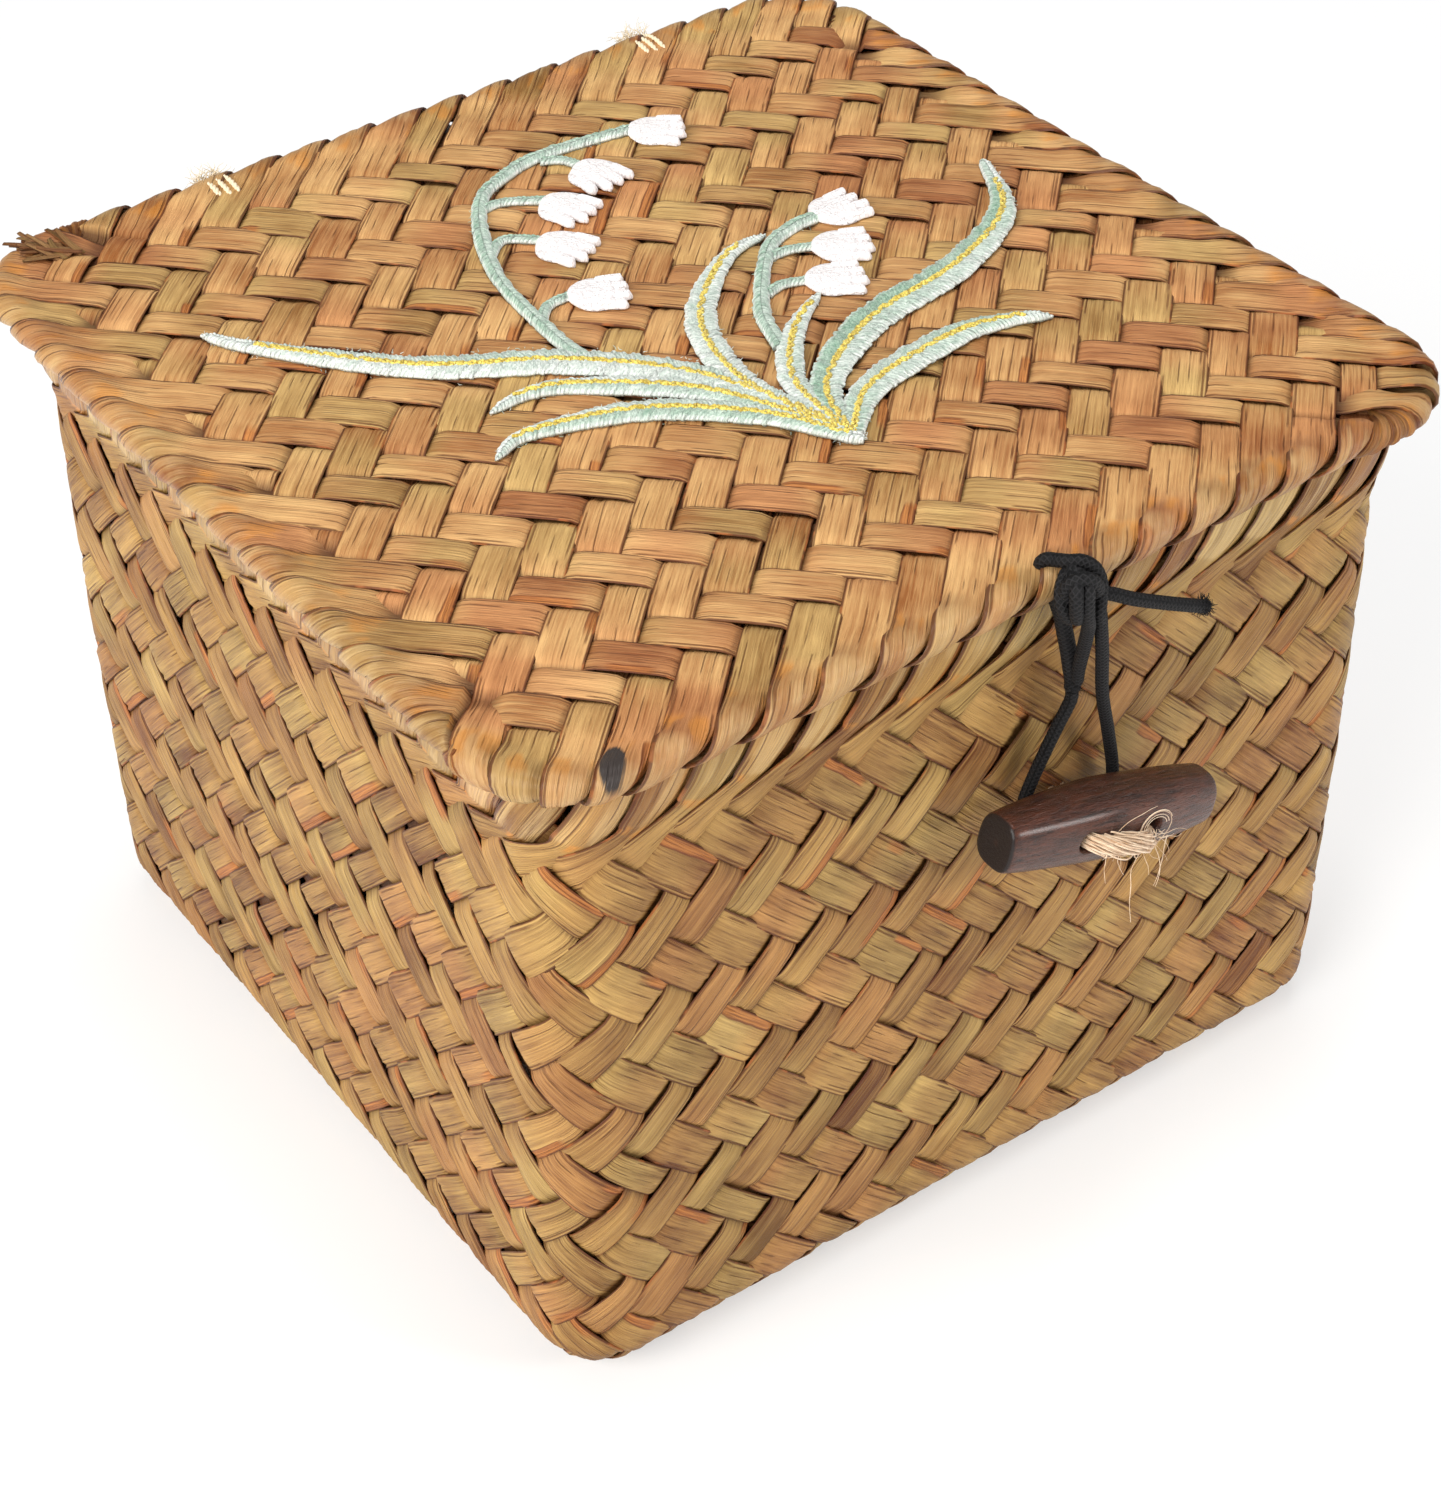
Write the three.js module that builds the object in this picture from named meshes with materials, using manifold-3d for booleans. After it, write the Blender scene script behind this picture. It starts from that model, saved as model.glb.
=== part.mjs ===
import * as THREE from 'three';
import { mergeVertices } from 'three/addons/utils/BufferGeometryUtils.js';
import Module from 'manifold-3d';

const wasm = await Module();
wasm.setup();

// A plaited rush box with a hinged lid, an embroidered spray on the lid and a
// toggle-and-loop closure. Millimetres, +Z up, the front faces -Y, and the
// origin is the middle of the base.

// Basket
const basketWidth = 160;
const basketDepth = 159;
const basketHeight = 126;
const basketCornerRadius = 12;
const wallThickness = 3;
const wallBulge = 0.8;
const floorThickness = 3.4;
const baseEdgeRadius = 8;
const baseInnerRadius = 5;
const rimHeight = 10;
const rimProud = 1.6;
const cornerSteps = 5;
const sideSteps = 4;
const wallSteps = 5;
const edgeSteps = 4;
const rimFootSteps = 2;

// Lid, whose strands fold round its edge as a row of slanted wraps
const lidOverhang = 6.9;
const lidThickness = 4;
const lidCornerRadius = 18;
const lidGap = 0.3;
const lidRollRadius = 2.4;
const lidRollFillet = 2.2;
const lidWrapPitch = 9.4;
const lidWrapRelief = 0.5;
const lidWrapSlant = 7;
const lidWrapCrestShare = 0.3;
const lidRollSteps = 8;
const lidRollReachDegrees = 215;

// Hinge ties, each one thread wound through the back of the lid and the rim
const hingeTieLeftX = -40;
const hingeTieRightX = 47;
const hingeDrop = 1.7;
const hingeSetback = 1.5;
const hingeTieRadius = 6;
const hingeThreadDiameter = 1.1;
const hingeTiePitch = 1.7;
const hingeTieTurns = 3;
const hingeTurnSteps = 24;
const hingeThreadSides = 6;
const hingeThreadClearance = 0.35;
const hingeTieStartDegrees = 200;

// Toggle, held off the front wall by its twine
const toggleLength = 42.5;
const toggleHeight = 11.8;
const toggleDepth = 10.6;
const toggleEndShare = 0.72;
const toggleEndBevel = 1;
const toggleX = 10.3;
const toggleZ = 84.2;
const toggleTiltDegrees = 14.7;
const toggleStandOff = 4;
const toggleHoleSpacing = 14.5;
const toggleHoleDiameter = 3.1;
const toggleHoleFlare = 0.7;
const toggleSectionPower = 2.7;
const toggleSides = 20;
const toggleRings = 8;
const holeSides = 12;

// Twine through the toggle and the wall, knotted inside the box
const twineDiameter = 1.8;
const twineClearance = 0.35;
const twineTieSpacing = 2.8;
const twineBridgeRise = 1.4;
const twineWallRise = 1.1;
const twineBend = 1.2;
const twineKnotWidth = 8.4;
const twineKnotSpacing = 1.7;
const twineKnotTurns = 2;
const twineSides = 8;
const twineSteps = 60;

// Elastic cord, slung round the front of the lid, knotted, and looped
const elasticDiameter = 2;
const slingDiameter = 2.5;
const elasticHoleX = 1.6;
const elasticHoleY = -82.8;
const elasticClearance = 0.35;
const elasticSides = 8;
const elasticStep = 4.5;
const knotWidth = 6.4;
const knotDepth = 5.6;
const knotSpacing = 1.75;
const knotTurns = 3;
const knotTiltDegrees = 14;
const knotRingSteps = 14;
const tailTipDiameter = 2.7;

// Embroidered spray, glued on the lid
const sprayWidth = 133.5;
const sprayHeight = 100.6;
const sprayLeft = -65.2;
const sprayBottom = -42.6;
const sprayGap = 0.3;
const sprayThickness = 1.5;
const leafTipShare = 0.07;
const leafBaseShare = 0.84;
const leafShoulderShare = 0.78;
const leafShoulderHeightShare = 0.7;
const stemHalfWidth = 1.4;
const branchHalfWidth = 1.1;
const leafSteps = 9;
const stemSteps = 12;
const branchSteps = 3;
const bellLength = 10.4;
const bellWidth = 8.8;
const bellThickness = 1.4;
const bellEdgeShare = 0.55;
const bellCrownShare = 0.8;
const bellMiddleShare = 0.5;

// Colours
const rushColour = 0xb98a4e;
const lidRushColour = 0xc08445;
const satinColour = 0xcfe3d8;
const juteColour = 0xd8bd94;
const toggleColour = 0x4a2f28;
const elasticColour = 0x26262a;
const rushRoughness = 0.6;
const satinRoughness = 0.45;
const fibreRoughness = 0.9;
const toggleRoughness = 0.4;
const elasticRoughness = 0.7;

// Flower outline from its foot to the middle of its mouth: shares of its
// length, and of its width to one side
const bellOutlineShares = [
  [0, 0], [0.03, 0.15], [0.13, 0.33], [0.32, 0.45], [0.6, 0.46], [0.97, 0.5], [0.83, 0.28], [1, 0.15],
  [0.87, 0],
];

// Leaves of the spray, tip first: half width, and centre line as shares of
// the spray's width and height
const leafTable = [
  { halfWidth: 3.4, shares: [[0, 0.836], [0.037, 0.752], [0.169, 0.553], [0.309, 0.435], [0.412, 0.292],
    [0.468, 0.12], [0.482, 0.012]] },
  { halfWidth: 2.6, shares: [[0.185, 0.383], [0.243, 0.391], [0.3, 0.36], [0.403, 0.242], [0.474, 0.06]] },
  { halfWidth: 2.7, shares: [[0.14, 0.273], [0.197, 0.298], [0.328, 0.248], [0.431, 0.13], [0.482, 0.012]] },
  { halfWidth: 2.7, shares: [[0.669, 0.563], [0.59, 0.534], [0.487, 0.404], [0.451, 0.23], [0.478, 0.04]] },
  { halfWidth: 2.2, shares: [[0.641, 0.366], [0.571, 0.304], [0.52, 0.23], [0.492, 0.155], [0.485, 0.03]] },
  { halfWidth: 3.5, shares: [[1, 0.547], [0.936, 0.391], [0.805, 0.298], [0.646, 0.248], [0.524, 0.143],
    [0.485, 0.02]] },
  { halfWidth: 3.1, shares: [[0.829, 0.093], [0.777, 0.124], [0.702, 0.137], [0.562, 0.099], [0.485, 0.012]] },
];

// Stems and their side branches, and the flowers by foot and heading
const stemShares = [
  [[0.335, 0.42], [0.332, 0.503], [0.351, 0.714], [0.421, 0.913], [0.496, 0.981], [0.571, 1], [0.69, 0.985]],
  [[0.53, 0.27], [0.562, 0.379], [0.646, 0.516], [0.702, 0.553], [0.745, 0.559]],
];
const branchShares = [
  [[0.545, 0.985], [0.57, 0.965], [0.582, 0.93]],
  [[0.43, 0.9], [0.465, 0.895], [0.497, 0.868]],
  [[0.375, 0.79], [0.412, 0.8], [0.439, 0.76]],
  [[0.334, 0.57], [0.362, 0.586], [0.4, 0.592]],
  [[0.64, 0.5], [0.67, 0.5], [0.7, 0.485]],
  [[0.585, 0.41], [0.615, 0.42], [0.645, 0.407]],
];
const bellTable = [
  { footShares: [0.679, 0.99], headingDegrees: -39 },
  { footShares: [0.582, 0.94], headingDegrees: -86 },
  { footShares: [0.496, 0.875], headingDegrees: -72 },
  { footShares: [0.438, 0.77], headingDegrees: -67 },
  { footShares: [0.391, 0.595], headingDegrees: -29 },
  { footShares: [0.736, 0.559], headingDegrees: -2 },
  { footShares: [0.693, 0.488], headingDegrees: -32 },
  { footShares: [0.639, 0.41], headingDegrees: -30 },
];

// Routes of the elastic, in millimetres: over the lid's edge into the knot,
// down behind the edge to where it grips the loop, from the knot to that
// grip, the free tail, and the loop from the knot round the toggle's twine
const knotCentre = new THREE.Vector3(3.6, -90.6, 128.4);
const overRoute = [[1.6, -82.8, 128.2], [1.6, -82.8, 131], [2.1, -84.2, 132.7], [3.2, -87.4, 132.4],
  [3.7, -90, 130.9], [3.7, -90.6, 128.4]];
const slingRoute = [[1.6, -82.8, 128.4], [1.6, -82.8, 124], [3, -83.1, 118.5], [5.9, -83.6, 112],
  [7.6, -83.8, 109], [8, -83.9, 107.6], [8, -83.9, 106.3]];
const gripRoute = [[3.2, -90.4, 128], [3.9, -89.9, 123.8], [6.2, -87.3, 115], [8, -84.7, 108.2]];
const tailRoute = [[4.4, -90.6, 128.6], [9, -91.2, 127.2], [17, -91.6, 123], [26, -91.4, 118]];
const tailTipRoute = [[24.4, -91.4, 118.9], [26.6, -91.4, 117.7]];
const stubRoute = [[5.4, -90.5, 128], [6.1, -90.2, 125.9], [6.6, -89.9, 124.2]];
const loopRoute = [[6.7, -89.85, 123.9], [9.2, -88.2, 115.5], [12, -86.1, 105], [15.6, -84.2, 95.2],
  [18.6, -82.7, 86.3], [19.2, -82.3, 82.3], [18.2, -82.3, 80.5], [16.4, -82.3, 79.4], [14.3, -82.3, 79.4],
  [9.4, -82.3, 80.7], [4.5, -82.3, 82], [2.7, -82.3, 83], [1.6, -82.3, 84.8], [1.6, -82.3, 86.9],
  [3.2, -82.5, 91.5], [5.8, -83.3, 98.8], [7.6, -83.8, 103.2], [8, -83.9, 104.6], [8, -83.9, 105.9]];

// Sizes that follow from those above
const lidUnderside = basketHeight + lidGap;
const lidTop = lidUnderside + lidThickness;
const lidWidth = basketWidth + 2 * lidOverhang;
const lidDepth = basketDepth + 2 * lidOverhang;
const hingeY = basketDepth / 2 + rimProud + hingeSetback;
const hingeZ = lidUnderside - hingeDrop;
const wallOuterY = -basketDepth / 2 - wallBulge;
const wallInnerY = -basketDepth / 2 + wallThickness;
const toggleBackY = wallOuterY - toggleStandOff;
const toggleFrontY = toggleBackY - toggleDepth;
const toggleMiddleY = (toggleBackY + toggleFrontY) / 2;
const twineHoleDiameter = twineTieSpacing + twineDiameter + 2 * twineClearance;

function toSolid(geometry) {
  const bare = geometry.clone();
  bare.deleteAttribute('normal');
  bare.deleteAttribute('uv');
  const welded = mergeVertices(bare);
  const vertProperties = welded.attributes.position.array;
  const triVerts = new Uint32Array(welded.index.array);
  return new wasm.Manifold(new wasm.Mesh({ numProp: 3, vertProperties, triVerts }));
}

function toGeometry(solid) {
  const mesh = solid.getMesh();
  const geometry = new THREE.BufferGeometry();
  geometry.setAttribute('position', new THREE.BufferAttribute(mesh.vertProperties, 3));
  geometry.setIndex(new THREE.BufferAttribute(mesh.triVerts, 1));
  return geometry;
}

function joined(solids) {
  return solids.reduce((whole, solid) => whole.add(solid));
}

function toPoints(route) {
  return route.map(([x, y, z]) => new THREE.Vector3(x, y, z));
}

// Skin over rings of points that run anticlockwise about the way they climb,
// with a middle point to close each end
function loft(rings, firstMiddle, lastMiddle) {
  const count = rings[0].length;
  const points = rings.flat();
  const firstIndex = points.length;
  const lastIndex = firstIndex + 1;
  const top = (rings.length - 1) * count;
  const faces = [];
  for (let i = 0; i < count; i++) {
    const next = (i + 1) % count;
    for (let base = 0; base < top; base += count) {
      faces.push(base + i, base + next, base + count + next);
      faces.push(base + i, base + count + next, base + count + i);
    }
    faces.push(firstIndex, next, i);
    faces.push(lastIndex, top + i, top + next);
  }
  const geometry = new THREE.BufferGeometry();
  geometry.setFromPoints([...points, firstMiddle, lastMiddle]);
  geometry.setIndex(faces);
  return geometry;
}

// Cord of a round section along a smooth curve through the points
function cord(points, diameter, sides, steps) {
  const section = new THREE.Shape();
  for (let side = 0; side < sides; side++) {
    const angle = 2 * Math.PI * side / sides;
    const corner = new THREE.Vector2(Math.cos(angle), Math.sin(angle)).multiplyScalar(diameter / 2);
    if (side === 0) section.moveTo(corner.x, corner.y);
    else section.lineTo(corner.x, corner.y);
  }
  const extrudePath = new THREE.CatmullRomCurve3(points);
  return new THREE.ExtrudeGeometry(section, { steps, extrudePath, bevelEnabled: false });
}

function elasticCord(route, diameter) {
  const points = toPoints(route);
  const length = new THREE.CatmullRomCurve3(points).getLength();
  return toSolid(cord(points, diameter, elasticSides, Math.max(2, Math.round(length / elasticStep))));
}

// Point at a distance round a rounded rectangle, with its outward direction
function outlineAt(distance, width, depth, radius) {
  const sides = [width - 2 * radius, depth - 2 * radius];
  const place = new THREE.Vector2(-sides[0] / 2, -depth / 2);
  const facing = new THREE.Vector2(0, -1);
  let rest = distance;
  for (let side = 0; side < 4 && rest > 0; side++) {
    const along = new THREE.Vector2(-facing.y, facing.x);
    const straight = Math.min(rest, sides[side % 2]);
    place.addScaledVector(along, straight);
    rest -= straight;
    const bend = Math.min(rest / radius, Math.PI / 2);
    place.addScaledVector(facing, -radius);
    facing.rotateAround(new THREE.Vector2(), bend);
    place.addScaledVector(facing, radius);
    rest -= bend * radius;
  }
  return { place, facing };
}

// Stations round the basket, with how far out the middle of each wall bows
function basketStations() {
  const arc = basketCornerRadius * Math.PI / 2;
  const lengths = [basketWidth - 2 * basketCornerRadius, basketDepth - 2 * basketCornerRadius];
  const stations = [];
  const add = (distance, bow) => {
    stations.push({ ...outlineAt(distance, basketWidth, basketDepth, basketCornerRadius), bow });
  };
  let start = 0;
  for (let side = 0; side < 4; side++) {
    const length = lengths[side % 2];
    for (let step = 0; step < sideSteps; step++) {
      const share = step / sideSteps;
      add(start + length * share, 4 * share * (1 - share));
    }
    for (let step = 0; step < cornerSteps; step++) {
      add(start + length + arc * step / cornerSteps, 0);
    }
    start += length + arc;
  }
  return stations;
}

// Section of the basket from the edge of its underside, up the outside, over
// the rolled rim and down to the floor: offset from the outline, and height
function basketSection() {
  const section = [];
  const add = (offset, z) => section.push({ offset, z });
  for (let step = 0; step <= edgeSteps; step++) {
    const angle = Math.PI / 2 * step / edgeSteps;
    add(-baseEdgeRadius * (1 - Math.sin(angle)), baseEdgeRadius * (1 - Math.cos(angle)));
  }
  const rimFoot = basketHeight - rimHeight;
  for (let step = 1; step <= wallSteps; step++) {
    add(0, baseEdgeRadius + (rimFoot - baseEdgeRadius) * step / wallSteps);
  }
  for (let step = 1; step <= rimFootSteps; step++) {
    const angle = Math.PI / 2 * step / rimFootSteps;
    add(rimProud * Math.sin(angle), rimFoot + rimProud * (1 - Math.cos(angle)));
  }
  const beadRadius = (wallThickness + rimProud) / 2;
  for (let step = 0; step <= 2 * edgeSteps; step++) {
    const angle = Math.PI / 2 * step / edgeSteps;
    add(rimProud + beadRadius * (Math.cos(angle) - 1), basketHeight + beadRadius * (Math.sin(angle) - 1));
  }
  const innerFoot = floorThickness + baseInnerRadius;
  for (let step = 0; step <= wallSteps; step++) {
    add(-wallThickness, rimFoot + (innerFoot - rimFoot) * step / wallSteps);
  }
  for (let step = 1; step <= edgeSteps; step++) {
    const angle = Math.PI / 2 * step / edgeSteps;
    add(baseInnerRadius * (Math.cos(angle) - 1) - wallThickness, innerFoot - baseInnerRadius * Math.sin(angle));
  }
  return section;
}

function basketShell() {
  const stations = basketStations();
  const rings = basketSection().map(({ offset, z }) => {
    const bulge = wallBulge * Math.sin(Math.PI * z / basketHeight);
    return stations.map(({ place, facing, bow }) => {
      const reach = offset + bulge * bow;
      return new THREE.Vector3(place.x + facing.x * reach, place.y + facing.y * reach, z);
    });
  });
  return toSolid(loft(rings, new THREE.Vector3(), new THREE.Vector3(0, 0, floorThickness)));
}

// Ring-shaped slot that a hinge tie runs in, through the lid and the rim, so
// that the lid turns about the middle of the tie
function hingeSlot(x) {
  const reach = hingeThreadDiameter / 2 + hingeThreadClearance;
  const inner = hingeTieRadius - reach;
  const outer = hingeTieRadius + reach;
  const half = hingeTiePitch * hingeTieTurns / 2 + reach;
  const corners = [[inner, -half], [outer, -half], [outer, half], [inner, half], [inner, -half]];
  const profile = corners.map(([r, along]) => new THREE.Vector2(r, along));
  const ring = new THREE.LatheGeometry(profile, hingeTurnSteps);
  ring.rotateZ(Math.PI / 2);
  ring.translate(x, hingeY, hingeZ);
  return toSolid(ring);
}

function drill(diameter, length) {
  return new THREE.CylinderGeometry(diameter / 2, diameter / 2, length, holeSides);
}

function basketBody() {
  const twineHole = drill(twineHoleDiameter, basketDepth / 2);
  twineHole.translate(toggleX, -basketDepth / 2, toggleZ);
  return basketShell()
    .subtract(toSolid(twineHole))
    .subtract(hingeSlot(hingeTieLeftX))
    .subtract(hingeSlot(hingeTieRightX));
}

// Section of the lid from its underside, round the roll and on to its top:
// offset from the outline, height and share of the way round. Valleys
// between two wraps lie deeper than their crests.
function lidSection(relief) {
  const axisZ = (lidUnderside + lidTop) / 2;
  const flatOffset = -2 * lidRollRadius - lidRollFillet;
  const section = [{ offset: flatOffset, z: lidUnderside, share: 0 }];
  const radius = lidRollRadius - relief;
  for (let step = 0; step <= lidRollSteps; step++) {
    const share = step / lidRollSteps;
    const angle = THREE.MathUtils.degToRad(lidRollReachDegrees) * (share - 1 / 2);
    section.push({ offset: radius * Math.cos(angle) - lidRollRadius, z: axisZ + radius * Math.sin(angle), share });
  }
  section.push({ offset: flatOffset, z: lidTop, share: 1 });
  return section;
}

function lidShell() {
  const straights = 2 * (lidWidth + lidDepth - 4 * lidCornerRadius);
  const length = straights + 2 * Math.PI * lidCornerRadius;
  const wraps = Math.round(length / lidWrapPitch);
  const crests = lidSection(0);
  const valleys = lidSection(lidWrapRelief);
  const rings = crests.map((crest, row) => {
    const ring = [];
    for (let wrap = 0; wrap < wraps; wrap++) {
      for (const { offset, z, share, place } of [
        { ...valleys[row], place: wrap },
        { ...crest, place: wrap + lidWrapCrestShare },
      ]) {
        const distance = place * length / wraps + lidWrapSlant * share;
        const station = outlineAt(distance % length, lidWidth, lidDepth, lidCornerRadius);
        ring.push(new THREE.Vector3(
          station.place.x + station.facing.x * offset,
          station.place.y + station.facing.y * offset,
          z,
        ));
      }
    }
    return ring;
  });
  return toSolid(loft(rings, new THREE.Vector3(0, 0, lidUnderside), new THREE.Vector3(0, 0, lidTop)));
}

function lidPanel() {
  const elasticHole = drill(slingDiameter + 2 * elasticClearance, 2 * basketHeight);
  elasticHole.rotateX(Math.PI / 2);
  elasticHole.translate(elasticHoleX, elasticHoleY, lidTop);
  return lidShell()
    .subtract(toSolid(elasticHole))
    .subtract(hingeSlot(hingeTieLeftX))
    .subtract(hingeSlot(hingeTieRightX));
}

// Least distance between two turns of a winding, from points a turn apart
function leastGap(points, turnPoints, diameter) {
  let least = Infinity;
  for (let i = 0; i < points.length; i++) {
    for (let j = i + Math.round(turnPoints / 2); j < points.length; j++) {
      least = Math.min(least, points[i].distanceTo(points[j]));
    }
  }
  return least - diameter;
}

// One thread in a helix about the hinge line, its two ends straight and
// buried in the rim
function hingeTie(name, x) {
  const centre = new THREE.Vector3(x, hingeY, hingeZ);
  const startAngle = THREE.MathUtils.degToRad(hingeTieStartDegrees);
  const count = hingeTieTurns * hingeTurnSteps;
  const points = [];
  for (let step = 0; step <= count; step++) {
    const angle = startAngle + 2 * Math.PI * step / hingeTurnSteps;
    const along = hingeTiePitch * hingeTieTurns * (step / count - 1 / 2);
    const reach = new THREE.Vector3(0, Math.cos(angle), Math.sin(angle)).multiplyScalar(hingeTieRadius);
    points.push(reach.setX(along).add(centre));
  }
  const gap = leastGap(points, hingeTurnSteps, hingeThreadDiameter);
  console.log(`${name}: least gap between turns ${gap.toFixed(2)} mm`);
  const straightEnd = (end, before) => end.clone().sub(before).setX(0).setLength(hingeThreadDiameter).add(end);
  const first = straightEnd(points[0], points[1]);
  const last = straightEnd(points[count], points[count - 1]);
  return toSolid(cord([first, ...points, last], hingeThreadDiameter, hingeThreadSides, count + 2));
}

function superellipse(width, height, angle) {
  const power = 2 / toggleSectionPower;
  const reach = (size, value) => Math.sign(value) * size / 2 * Math.abs(value) ** power;
  return [reach(width, Math.cos(angle)), reach(height, Math.sin(angle))];
}

// Barrel along X with bevelled ends and two holes along Y, flared at both ends
function toggle() {
  const halfLength = toggleLength / 2;
  const ringAt = (x, shrink) => {
    const taper = 1 - (1 - toggleEndShare) * (x / halfLength) ** 2;
    const ring = [];
    for (let side = 0; side < toggleSides; side++) {
      const angle = 2 * Math.PI * side / toggleSides;
      const [y, z] = superellipse(toggleDepth * taper - shrink, toggleHeight * taper - shrink, angle);
      ring.push(new THREE.Vector3(x, y, z));
    }
    return ring;
  };
  const rings = [ringAt(-halfLength, 2 * toggleEndBevel)];
  for (let step = 0; step <= toggleRings; step++) {
    rings.push(ringAt((halfLength - toggleEndBevel) * (2 * step / toggleRings - 1), 0));
  }
  rings.push(ringAt(halfLength, 2 * toggleEndBevel));
  let solid = toSolid(loft(rings, new THREE.Vector3(-halfLength, 0, 0), new THREE.Vector3(halfLength, 0, 0)));
  const holeRadius = toggleHoleDiameter / 2;
  const mouthRadius = holeRadius + toggleHoleFlare;
  for (const x of [-toggleHoleSpacing / 2, toggleHoleSpacing / 2]) {
    const profile = [
      [0, -toggleDepth], [mouthRadius, -toggleDepth], [mouthRadius, -toggleDepth / 2],
      [holeRadius, toggleHoleFlare - toggleDepth / 2], [holeRadius, toggleDepth / 2 - toggleHoleFlare],
      [mouthRadius, toggleDepth / 2], [mouthRadius, toggleDepth], [0, toggleDepth],
    ].map(([r, y]) => new THREE.Vector2(r, y));
    const hole = new THREE.LatheGeometry(profile, holeSides);
    hole.translate(x, 0, 0);
    solid = solid.subtract(toSolid(hole));
  }
  return solid;
}

// Flat-lying ring of cord, one turn of a knot
function knotTurn(width, depth, diameter, height) {
  const ring = new THREE.TorusGeometry((width - diameter) / 2, diameter / 2, elasticSides, knotRingSteps);
  ring.scale(1, depth / width, 1);
  ring.translate(0, 0, height);
  return ring;
}

function knot(width, depth, diameter, spacing, turns) {
  const pieces = [];
  for (let turn = 0; turn < turns; turn++) {
    pieces.push(knotTurn(width, depth, diameter, spacing * (turn - (turns - 1) / 2)));
  }
  const coreRadius = (width - diameter) / 2;
  const core = new THREE.CylinderGeometry(coreRadius, coreRadius, spacing * (turns - 1) + diameter / 2, knotRingSteps);
  core.scale(1, 1, depth / width);
  core.rotateX(Math.PI / 2);
  return [...pieces, core];
}

// Twine in the toggle's own frame: from the knot inside the box out through
// the wall, through one hole, across the front, and back by the other hole
function toggleTwine() {
  const wallOut = wallOuterY - toggleMiddleY;
  const wallIn = wallInnerY - toggleMiddleY;
  const knotFront = wallIn + twineClearance;
  const knotLength = twineKnotSpacing * (twineKnotTurns - 1) + twineDiameter;
  const legX = twineTieSpacing / 2;
  const holeX = toggleHoleSpacing / 2;
  const front = -toggleDepth / 2;
  const half = [
    [legX, knotFront + knotLength, 0],
    [legX, wallIn, 0],
    [legX, wallOut - twineWallRise + twineBend, 0],
    [(legX + holeX) / 2, (wallOut - front) / 2, 0],
    [holeX, -front - twineBend, 0],
    [holeX, 0, 0],
    [holeX, front + twineBend, 0],
    [holeX - twineBend / 2, front - twineBridgeRise / 2, 0],
    [holeX - 2 * twineBend, front - twineBridgeRise, 0],
  ];
  const otherHalf = half.map(([x, y, z]) => [-x, y, z]).reverse();
  const points = toPoints([...half, ...otherHalf]);
  const pieces = [cord(points, twineDiameter, twineSides, twineSteps)];
  for (const turn of knot(twineKnotWidth, twineKnotWidth, twineDiameter, twineKnotSpacing, twineKnotTurns)) {
    turn.rotateX(Math.PI / 2);
    turn.translate(0, knotFront + knotLength / 2, 0);
    pieces.push(turn);
  }
  return joined(pieces.map(toSolid));
}

function elasticSling() {
  const pieces = [
    elasticCord(overRoute, elasticDiameter),
    elasticCord(slingRoute, slingDiameter),
    elasticCord(gripRoute, elasticDiameter),
    elasticCord(tailRoute, elasticDiameter),
    elasticCord(tailTipRoute, tailTipDiameter),
    elasticCord(stubRoute, elasticDiameter),
  ];
  for (const turn of knot(knotWidth, knotDepth, elasticDiameter, knotSpacing, knotTurns)) {
    turn.rotateY(THREE.MathUtils.degToRad(knotTiltDegrees));
    turn.translate(knotCentre.x, knotCentre.y, knotCentre.z);
    pieces.push(toSolid(turn));
  }
  return joined(pieces);
}

function elasticLoop() {
  return elasticCord(loopRoute, elasticDiameter);
}

// Place on the spray from shares of its width and height
function sprayPlace([across, up]) {
  return new THREE.Vector3(sprayLeft + across * sprayWidth, sprayBottom + up * sprayHeight, 0);
}

// Crowned ribbon of stitching along a line, flat underneath
function ribbon(shares, steps, halfWidthAt) {
  const line = new THREE.CatmullRomCurve3(shares.map(sprayPlace));
  const up = new THREE.Vector3(0, 0, 1);
  const middles = [];
  const rings = [];
  for (let step = 0; step <= steps; step++) {
    const share = step / steps;
    const middle = line.getPointAt(share);
    const side = up.clone().cross(line.getTangentAt(share));
    const halfWidth = halfWidthAt(share);
    const place = (acrossShare, upShare) => middle.clone()
      .addScaledVector(side, acrossShare * halfWidth)
      .addScaledVector(up, upShare * sprayThickness);
    rings.push([
      place(1, 0),
      place(leafShoulderShare, leafShoulderHeightShare),
      place(0, 1),
      place(-leafShoulderShare, leafShoulderHeightShare),
      place(-1, 0),
    ]);
    middles.push(place(0, leafShoulderHeightShare / 2));
  }
  return toSolid(loft(rings, middles[0], middles[steps]));
}

function leaf({ halfWidth, shares }) {
  const swell = (share) => Math.sin(Math.PI * (leafTipShare + (leafBaseShare - leafTipShare) * share));
  return ribbon(shares, leafSteps, (share) => halfWidth * swell(share));
}

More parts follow.
